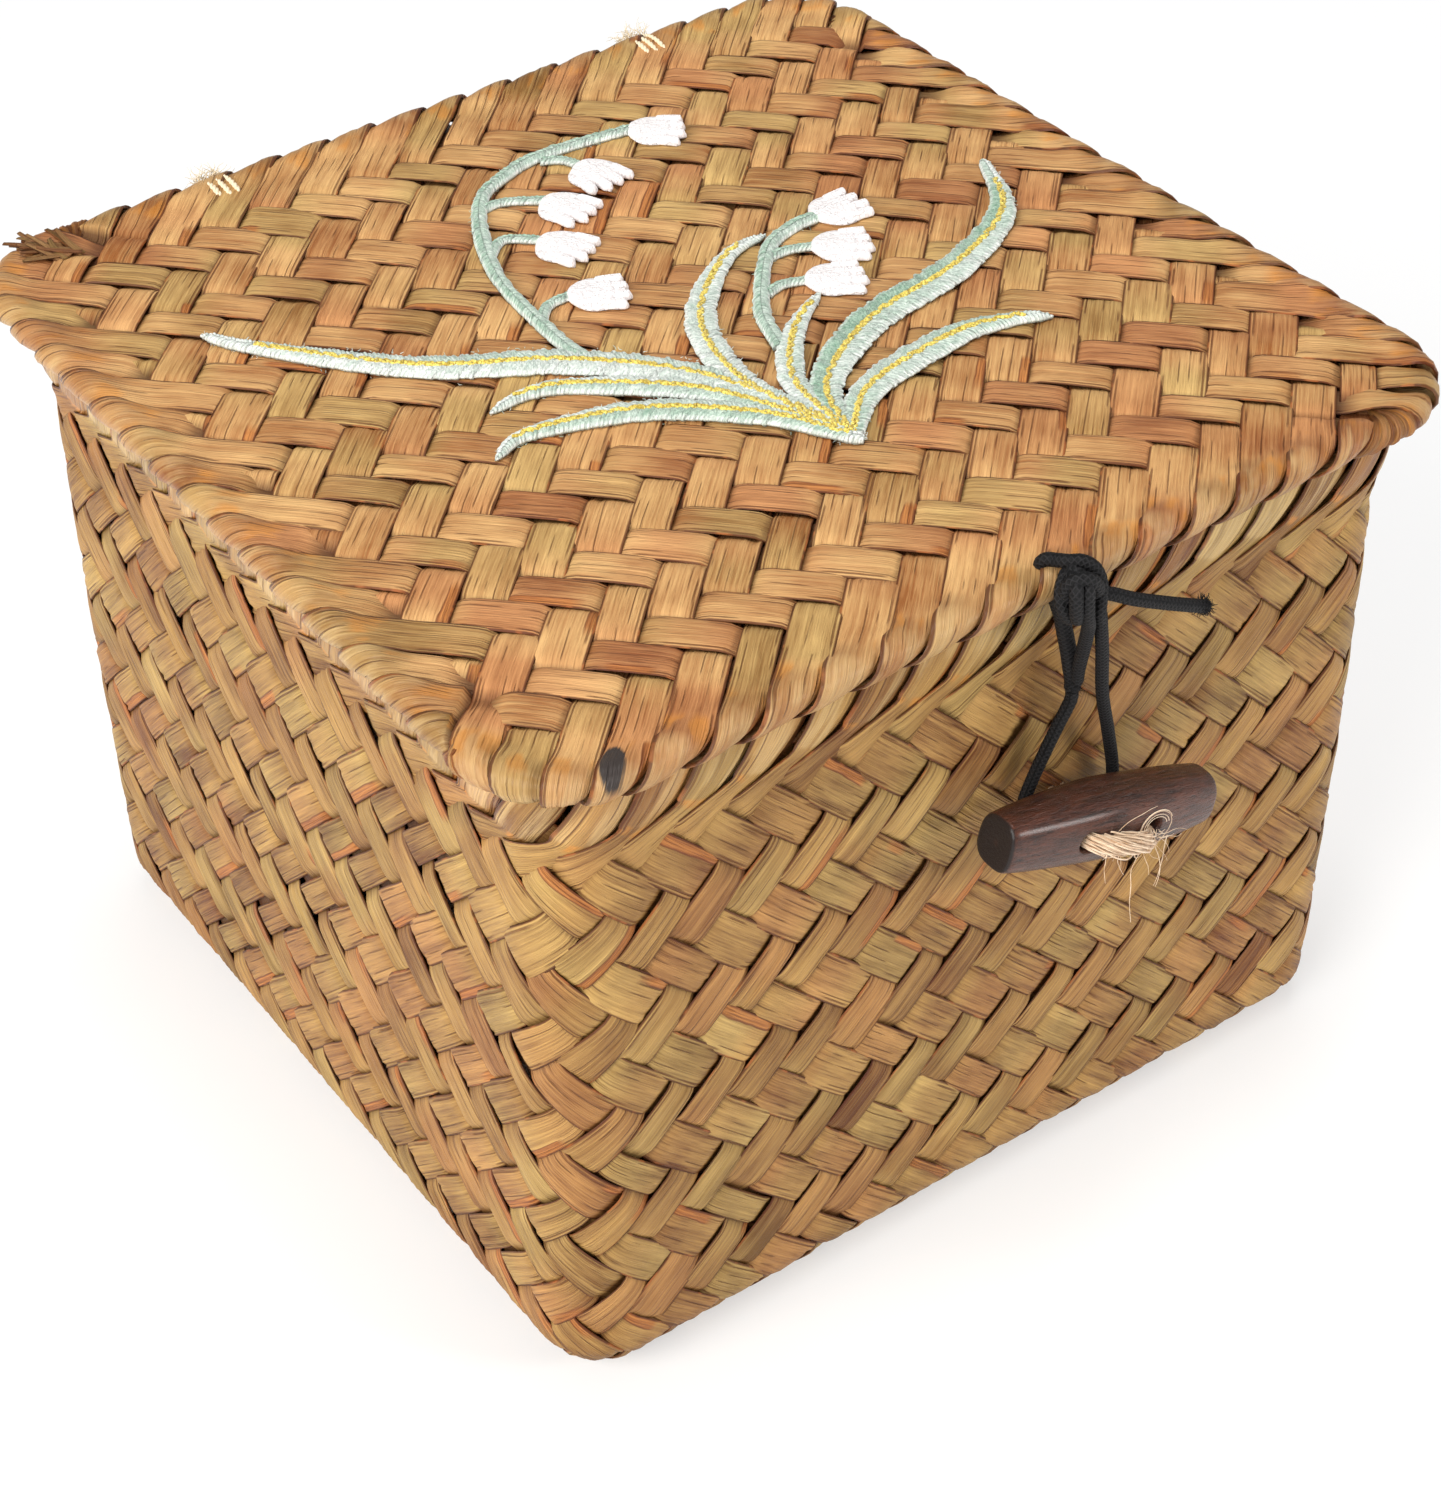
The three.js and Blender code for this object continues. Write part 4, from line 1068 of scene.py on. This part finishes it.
def leaf_fuzz(skin, line, half, greens):
    """Loose fibres along both edges of a leaf or stem."""
    ahead = headings(line)
    for _ in range(int(len(line) / 6)):
        row = rng.integers(len(line))
        side = rng.choice((-1, 1))
        out = side * np.array([-ahead[row, 1], ahead[row, 0], 0.3])
        start = line[row] + out * (half[row] - 0.25) + (0, 0, SPRAY_LEVEL + 0.25)
        stray_thread(skin, start, out + ahead[row] * rng.normal() * 0.8, greens[0 if side > 0 else 1][row])


# Toggle and its twine, in the toggle's own frame and set in place afterwards
TOGGLE_AT = (10.3, -89.6, 84.2)
TOGGLE_TILT = 14.7
TOGGLE_LENGTH = 42.5
TOGGLE_HEIGHT = 11.8
TOGGLE_DEPTH = 10.6
TOGGLE_END = 0.72
HOLE_AT = 6.7
HOLE = 3.1


def on_toggle(points):
    """Turns points of the toggle's own frame into the box's."""
    angle = math.radians(TOGGLE_TILT)
    x = points[..., 0] * math.cos(angle) + points[..., 2] * math.sin(angle)
    z = -points[..., 0] * math.sin(angle) + points[..., 2] * math.cos(angle)
    return np.stack([x + TOGGLE_AT[0], points[..., 1] + TOGGLE_AT[1], z + TOGGLE_AT[2]], -1)


def toggle_section(x, angle):
    """Rounded-square section that tapers towards the ends, with a slight wobble."""
    taper = 1 - (1 - TOGGLE_END) * (x / (TOGGLE_LENGTH / 2)) ** 2
    power = 2 / 2.7
    reach = lambda value: np.sign(value) * np.abs(value) ** power
    wobble = 1 + 0.012 * np.sin(3 * angle + x / 6) + 0.01 * np.sin(x / 3.1 + 2)
    y = TOGGLE_DEPTH / 2 * taper * reach(np.cos(angle)) * wobble
    z = TOGGLE_HEIGHT / 2 * taper * reach(np.sin(angle)) * wobble
    return y, z


def toggle_rings():
    """Rings of the toggle's turned body, rounded off at both ends."""
    around = 96
    angle = np.arange(around) * 2 * math.pi / around
    tip = -TOGGLE_LENGTH / 2
    ends = [(tip + 0.25, 0.02), (tip + 0.1, 0.5), (tip + 0.02, 0.85), (tip + 0.15, 0.945), (tip + 0.4, 0.985)]
    body = [(x, 1.0) for x in np.linspace(-1, 1, 73) * (TOGGLE_LENGTH / 2 - 0.7)]
    rings = []
    for x, share in ends + body + [(-x, share) for x, share in reversed(ends)]:
        y, z = toggle_section(np.full(around, x), angle)
        rings.append(np.stack([np.full(around, x), y * share, z * share], -1))
    return np.array(rings)


def hole_cutter(side):
    """Flared bore of one of the toggle's holes."""
    half = TOGGLE_DEPTH / 2
    depth = np.array([-8, -half - 0.1, -half + 0.3, -half + 1, 0, half - 1, half - 0.3, half + 0.1, 8])
    radius = HOLE / 2 + np.array([0.8, 0.75, 0.35, 0.05, 0, 0.05, 0.35, 0.75, 0.8])
    line = np.stack([0 * depth + side * HOLE_AT, depth, 0 * depth], -1)
    cut = Skin()
    cut.tube(cord_rings(line, radius, 32), (0, 0, 0), (0, 0, 0))
    return linked("cutter", cut.mesh("cutter"))


def toggle_piece(material):
    skin = Skin()
    skin.tube(toggle_rings(), (0, 0, 0), (0, 0, 0))
    solid = linked("toggle_blank", skin.mesh("toggle_wood"))
    cutters = [hole_cutter(side) for side in (-1, 1)]
    for cutter in cutters:
        change = solid.modifiers.new("hole", "BOOLEAN")
        change.object = cutter
        change.operation = "DIFFERENCE"
        change.solver = "EXACT"
    bpy.context.view_layer.update()
    mesh = bpy.data.meshes.new_from_object(solid.evaluated_get(bpy.context.evaluated_depsgraph_get()))
    for item in [solid, *cutters]:
        bpy.data.objects.remove(item)
    places = np.empty(len(mesh.vertices) * 3, np.float32)
    mesh.vertices.foreach_get("co", places)
    own = places.reshape(-1, 3) / MM
    mesh.vertices.foreach_set("co", (on_toggle(own) * MM).astype(np.float32).ravel())
    mesh.attributes["fibre"].data.foreach_set("vector", own.astype(np.float32).ravel())
    mesh.name = "toggle_wood"
    mesh.update()
    mesh.materials.clear()
    piece = new_object("toggle_turned", mesh, "toggle", material)
    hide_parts("toggle")


def wood_material():
    """Dark turned wood: long grain, darker ends and pores, worn paler where it is handled."""
    g = material_graph("dark_wood")
    x, y, z = g.attribute("fibre")
    grain = g.streaks(x, y, g.times(z, 1.9), 0.18, 1.9, 4.0, 0.65)
    pores = g.streaks(x, y, g.times(z, 7.0), 0.7, 7.0)
    wear = g.streaks(x, y, g.times(z, 0.25), 0.12, 0.25, 3.0)
    colour = g.mix(g.span(grain, 0.32, 0.68), (30, 14, 9), (96, 52, 36))
    colour = g.mix(g.times(g.span(wear, 0.48, 0.68), 0.4), colour, (112, 62, 42))
    colour = g.mix(g.span(pores, 0.36, 0.46, 0.6, 0.0), colour, (30, 18, 14))
    ends = g.span(g.size(x), TOGGLE_LENGTH / 2 - 0.45, TOGGLE_LENGTH / 2 - 0.2)
    g.shade("Base Color", g.mix(ends, colour, (22, 11, 9)))
    g.shade("Roughness", g.span(g.plus(pores, ends), 0.35, 1.3, 0.27, 0.6))
    g.shade("Specular IOR Level", 0.3)
    g.shade("Coat Weight", 0.3)
    g.shade("Coat Roughness", 0.22)
    g.bump(g.plus(grain, g.times(pores, 0.5)), 0.0005)
    return g.owner


# Jute and hinge thread: streaks along and across, where these turn from the
# dark to the pale colour, and roughness and sheen
JUTE = (0.5, 1.0), (0.3, 0.7), (190, 150, 112), (244, 224, 196), 0.75, 0.3
THREAD = (1.0, 3.0), (0.0, 1.0), (206, 184, 146), (240, 228, 204), 0.8, 0.0


def fibre_material(name, streaks, turning, dark, pale, roughness, sheen):
    g = material_graph(name)
    u, v, mark = g.attribute("fibre")
    tone = g.streaks(u, v, mark, *streaks)
    g.shade("Base Color", g.mix(g.span(tone, *turning), dark, pale))
    g.shade("Roughness", roughness)
    g.shade("Sheen Weight", sheen)
    g.bump(tone, 0.0001)
    return g.owner


def fibre_bundle(skin, route, count, spread, radius, twist, step=0.5, ragged=0.0, flat=1.0, swell=(1, 1)):
    """Loose bundle of fibres that follow a line, each with its own wander. Swell gives its share of the
    spread at even distances."""
    line, at = through(route, step)
    swelling = np.interp(at / at[-1], np.linspace(0, 1, len(swell)), swell)
    frames = cord_rings(line, 1.0, 4)
    first = frames[:, 0] - line
    second = frames[:, 1] - line
    for _ in range(count):
        distance = swelling * spread * math.sqrt(rng.uniform(0, 1))
        angle = rng.uniform(0, 2 * math.pi) + at * twist
        wave_a = 1 + 0.3 * np.sin(at / rng.uniform(1.5, 4) + rng.uniform(0, 6))
        x = distance * wave_a * np.cos(angle)
        y = distance * wave_a * np.sin(angle) * flat
        start, stop = 0, len(line)
        if ragged:
            start = int(rng.uniform(0, ragged) * len(line))
            stop = len(line) - int(rng.uniform(0, ragged) * len(line))
        path = (line + first * x[:, None] + second * y[:, None])[start:stop]
        if len(path) < 4:
            continue
        thin = np.clip(np.minimum(np.arange(len(path)), np.arange(len(path))[::-1]) / 3, 0.25, 1)
        rings = cord_rings(path, radius * rng.uniform(0.7, 1.3) * thin, 6)
        skin.tube(rings, (at[start:stop, None], 1, rng.uniform(0, 40)))


def hair(skin, start, heading, length, curl, radius=0.06):
    """One loose fibre that wanders off from a place."""
    heading = np.array(heading, float)
    heading /= np.linalg.norm(heading)
    points = [np.array(start, float)]
    for _ in range(5):
        heading = heading + curl * rng.normal(size=3)
        heading /= np.linalg.norm(heading)
        points.append(points[-1] + heading * length / 5)
    line, at = through(points, 0.4)
    rings = cord_rings(line, radius * np.linspace(1, 0.4, len(line)), 4)
    skin.tube(rings, (at[:, None], 1, rng.uniform(0, 9)))
    return rings


# Twine: where the wall begins and ends behind the toggle, and its legs there
WALL_OUT = -80.3 - TOGGLE_AT[1]
WALL_IN = -76.5 - TOGGLE_AT[1]
LEG = 1.4
TOGGLE_FRONT = -TOGGLE_DEPTH / 2


def twine_bridge(skin):
    """Loose bundle across the toggle's front, from one hole to the other."""
    route = [(-HOLE_AT, 2.5, 0), (-HOLE_AT + 0.7, TOGGLE_FRONT + 2.2, -0.2),
             (-HOLE_AT + 2.0, TOGGLE_FRONT + 0.3, -0.3), (-HOLE_AT + 4.4, TOGGLE_FRONT - 0.9, -0.6),
             (0.6, TOGGLE_FRONT - 1.3, -0.8), (HOLE_AT - 3.0, TOGGLE_FRONT - 0.9, -1.3),
             (HOLE_AT - 1.5, TOGGLE_FRONT + 0.4, -1.5), (HOLE_AT - 0.9, TOGGLE_FRONT + 2.0, -1.1),
             (HOLE_AT - 0.3, 2.5, -0.4)]
    swell = (0.4, 0.5, 0.75, 1, 1, 0.85, 0.6, 0.3, 0.3)
    fibre_bundle(skin, route, 170, 2.2, 0.13, 0.16, flat=0.75, swell=swell)


def twine_leg(skin, side):
    """Two plies from a hole through the wall."""
    route = [(side * HOLE_AT, 0, 0), (side * HOLE_AT, -TOGGLE_FRONT - 0.5, 0),
             (side * (LEG + HOLE_AT) / 2, (WALL_OUT - TOGGLE_FRONT) / 2, 0), (side * LEG, WALL_OUT - 0.2, -1),
             (side * LEG, WALL_IN, -0.8), (side * LEG, WALL_IN + 2.4, 0)]
    for ply in (0, math.pi):
        line, at = through(route, 0.2)
        frames = cord_rings(line, 0.42, 8)
        turns = at * 2 * math.pi / 3.4 + ply
        offset = (frames[:, 0] - line) * np.cos(turns)[:, None]
        offset = offset + (frames[:, 2] - line) * np.sin(turns)[:, None]
        fibre_bundle(skin, (line + offset)[::3], 9, 0.34, 0.13, 1.2, step=0.4)


def twine_knot(skin):
    """Knot inside the box: two turns, a crossing over them and a frayed end."""
    for turn in range(2):
        angle = np.linspace(0, 2 * math.pi, 25)
        y = WALL_IN + 1.3 + 1.7 * turn
        ring = np.stack([3.3 * np.cos(angle), y + 0.25 * np.sin(2 * angle), 3.3 * np.sin(angle)], -1)
        fibre_bundle(skin, ring, 22, 0.8, 0.16, 1.4, step=0.5)
    crossing = [(-3.0, WALL_IN + 1.2, 2.0), (-1, WALL_IN + 4.0, 1), (1.2, WALL_IN + 4.2, -1),
                (3.0, WALL_IN + 1.4, -2.2)]
    fibre_bundle(skin, crossing, 22, 0.8, 0.16, 1.4)
    end = [(0, WALL_IN + 3.0, 2.5), (-1.5, WALL_IN + 3.4, -3), (-2.4, WALL_IN + 3.0, -8)]
    fibre_bundle(skin, end, 22, 0.75, 0.15, 0.8, ragged=0.25)


def loose_fibres(skin):
    """Fibres that curl round the right hole and stand off the bundle."""
    for _ in range(6):
        angle = np.linspace(0.4, rng.uniform(3.6, 6.6), 14) + rng.uniform(-0.9, 0.9)
        size = rng.uniform(1.8, 3.4)
        depth = TOGGLE_FRONT - 0.25 - 0.12 * np.sin(angle * 2)
        ring = np.stack([HOLE_AT + size * np.cos(angle), depth, size * np.sin(angle)], -1)
        line, _ = through(ring, 0.3)
        skin.tube(cord_rings(line, 0.055, 4), (1, 1, rng.uniform(0, 9)))
    for _ in range(26):
        x = rng.uniform(-6.5, 7)
        hair(skin, (x, TOGGLE_FRONT - 1.2, rng.uniform(-1.2, 1.0)),
             (rng.normal(), -0.4, rng.normal() * 0.8 - 0.3), rng.uniform(2.5, 6), 0.35)
    for x, length, lean in ((4.2, 14, 0.1), (6.2, 9, 0.5), (8.8, 10, 0.1), (-3.5, 5, -0.3)):
        hair(skin, (x, TOGGLE_FRONT - 1.0, -1.2), (lean, 0.05, -1), length, 0.14, 0.09)
    hair(skin, (-2.0, TOGGLE_FRONT - 0.6, 1.6), (0.8, -0.2, 1), 8, 0.2, 0.07)


def toggle_twine(material):
    """Jute twine through both holes, drawn back through the wall and knotted inside."""
    own = Skin()
    twine_bridge(own)
    for side in (-1, 1):
        twine_leg(own, side)
    twine_knot(own)
    loose_fibres(own)
    own.points = [on_toggle(points) for points in own.points]
    piece = new_object("toggle_jute", own.mesh("toggle_jute"), "toggle", material)
    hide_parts("toggle_twine")


# Elastic: over the lid's edge and down the knot's right side, its band, its
# front and back turns, down behind the edge to the grip on the loop, from the
# knot to that grip, the knot's core, and the free tail
OVER_ROUTE = [(1.6, -82.8, 128.2), (1.2, -82.7, 130.8), (1.6, -83.4, 131.9), (2.4, -84.7, 132.2),
              (3.1, -86.4, 132.7), (4.4, -87.7, 132.9), (5.7, -88.8, 131.9), (6.2, -89.7, 130.2),
              (6.1, -90.2, 128.0), (5.9, -90.4, 125.5), (6.5, -90.0, 123.4)]
BAND_ROUTE = [(1.6, -88.0, 127.0), (0.9, -88.8, 128.6), (0.4, -89.1, 130.6), (1.0, -89.9, 132.2),
              (2.3, -90.8, 132.6), (3.7, -91.1, 131.7), (5.0, -90.6, 129.6), (5.2, -89.4, 128.0)]
FRONT_ROUTE = [(2.8, -88.6, 131.4), (0.9, -90.7, 131.6), (0.5, -91.3, 129.8), (1.1, -90.9, 127.0),
               (2.4, -89.8, 125.0)]
BACK_ROUTE = [(3.6, -86.4, 130.6), (2.1, -87.0, 131.0), (0.4, -88.2, 129.4), (0.3, -88.9, 127.2),
              (1.8, -88.6, 124.8), (4.0, -88.0, 123.8)]
SLING_ROUTE = [(2.4, -82.8, 128.4), (3.8, -83.2, 124.8), (5.2, -83.4, 120.8), (6.1, -83.5, 117.0),
               (6.9, -83.6, 113.6), (7.5, -83.8, 110.2), (8, -83.9, 107.6), (8, -83.9, 106.3)]
GRIP_ROUTE = [(4.2, -89.2, 131.0), (2.6, -91.2, 131.2), (2.4, -91.6, 128.9), (3.2, -91.0, 125.6),
              (4.9, -89.5, 122.2), (6.4, -87.4, 117.0), (7.4, -85.6, 111.6), (8, -84.7, 108.2)]
CORE_ROUTE = [(2.0, -86.6, 131.4), (3.4, -88.0, 130.6), (3.6, -88.6, 128), (3.4, -88.6, 126.4)]
TAIL_ROUTE = [(4.4, -88.4, 127.4), (7.8, -89.6, 127.0), (12.1, -91.0, 124.9), (18.9, -91.5, 121.4),
              (25.8, -91.6, 117.9)]
GRIP = np.array([8.0, -84.3, 107.4])


def elastic_sling(material):
    own = Skin()
    routes = (OVER_ROUTE, BAND_ROUTE, FRONT_ROUTE, BACK_ROUTE, GRIP_ROUTE, TAIL_ROUTE)
    for number, route in enumerate(routes):
        braided(own, route, ELASTIC * 1.04, 3.0 + number)
    braided(own, SLING_ROUTE, 2.5, 9.0)
    braided(own, CORE_ROUTE, 3.6, 10.0)
    tip = np.array(TAIL_ROUTE[-1])
    ahead = np.array([0.86, 0.0, -0.5])
    for _ in range(150):
        away = rng.normal(size=3)
        away -= ahead * np.dot(away, ahead)
        away /= np.linalg.norm(away)
        start = tip - ahead * rng.uniform(0, 1.8) + away * rng.uniform(0.3, 0.95)
        hair(own, start, ahead * rng.uniform(-0.2, 1.2) + away * 0.8, rng.uniform(0.7, 1.5), 0.3, 0.085)
    for _ in range(110):
        away = rng.normal(size=3)
        away /= np.linalg.norm(away)
        hair(own, GRIP + away * (0.9, 0.7, 1.3), away + (0, -0.3, 0), rng.uniform(0.6, 1.6), 0.35, 0.05)
    piece = new_object("elastic_sling_braid", own.mesh("elastic_sling_braid"), "lid", material)
    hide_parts("elastic_sling")


# Thread ties of the hinge: turns about the hinge line, and loose ends on top
HINGE_Y = 82.6
HINGE_Z = 124.6
TIE_LEFT = -40.0
TIE_RIGHT = 47.0
TIE_RADIUS = 6.0
TIE_PITCH = 1.7
TIE_TURNS = 3
TIE_PLIES = 3


def hinge_tie(name, x, node, material):
    own = Skin()
    angle = math.radians(200) + np.linspace(0, 2 * math.pi * TIE_TURNS, 97)
    along = x + TIE_PITCH * TIE_TURNS * (np.linspace(0, 1, 97) - 0.5)
    y = HINGE_Y + TIE_RADIUS * np.cos(angle)
    route = np.stack([along, y, HINGE_Z + TIE_RADIUS * np.sin(angle)], -1)
    line, at = through(route, 0.2)
    frames = cord_rings(line, 0.26, 6)
    for ply in range(TIE_PLIES):
        turn = at * 2 * math.pi / 2.6 + ply * 2 * math.pi / TIE_PLIES
        offset = (frames[:, 0] - line) * np.cos(turn)[:, None]
        offset = offset + (frames[:, 2] - line) * np.sin(turn)[:, None] / 0.87
        own.tube(cord_rings(line + offset, 0.3, 8), (at[:, None] * 4, 1, ply))
    for _ in range(60):
        start = (x + rng.uniform(-2.5, 2.5), HINGE_Y + 4.3 + rng.uniform(-1.5, 0.8), HINGE_Z + 4.9)
        heading = (rng.normal() * 0.8, rng.uniform(-0.3, 1.0), rng.uniform(0.3, 1))
        hair(own, start, heading, rng.uniform(1.5, 4), 0.4, 0.08)
    piece = new_object(name, own.mesh(name), "basket", material)
    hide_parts(node)


camera()
studio()

elastic = elastic_material()
loop = Skin()
loop_length = braided(loop, LOOP_ROUTE, ELASTIC, 1.0)
loop_piece = new_object("elastic_loop_braid", loop.mesh("elastic_loop_braid"), "loop", elastic)
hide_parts("elastic_loop")

rush = rush_material("rush_strands")
lid_rush = rush_material("lid_rush_strands", blot=True)
basket = Skin()
rising_strands(basket)
falling_strands(basket)
flat_plait(basket, FLOOR_SHAPE, FLOOR_PITCH, FLOOR_LEVEL, 0.1)
basket_piece = new_object("basket_plait", basket.mesh("basket_plait"), "basket", rush)
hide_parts("basket_body")

lid = Skin()
lid_top(lid)
corner_tuft(lid)
flat_plait(lid, UNDERSIDE_SHAPE, LID_PITCH, UNDERSIDE_LEVEL, 0.9)
lid_piece = new_object("lid_plait", lid.mesh("lid_plait"), "lid", lid_rush)
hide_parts("lid_panel")

embroidery = Skin()
spray(embroidery)
satin = satin_material()
spray_piece = new_object("spray_stitches", embroidery.mesh("spray_stitches"), "lid", satin)
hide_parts("flower_applique")

toggle_piece(wood_material())
toggle_twine(fibre_material("jute_fibre", *JUTE))
elastic_sling(elastic)
thread = fibre_material("hinge_thread", *THREAD)
hinge_tie("hinge_thread_left", TIE_LEFT, "hinge_tie_left", thread)
hinge_tie("hinge_thread_right", TIE_RIGHT, "hinge_tie_right", thread)
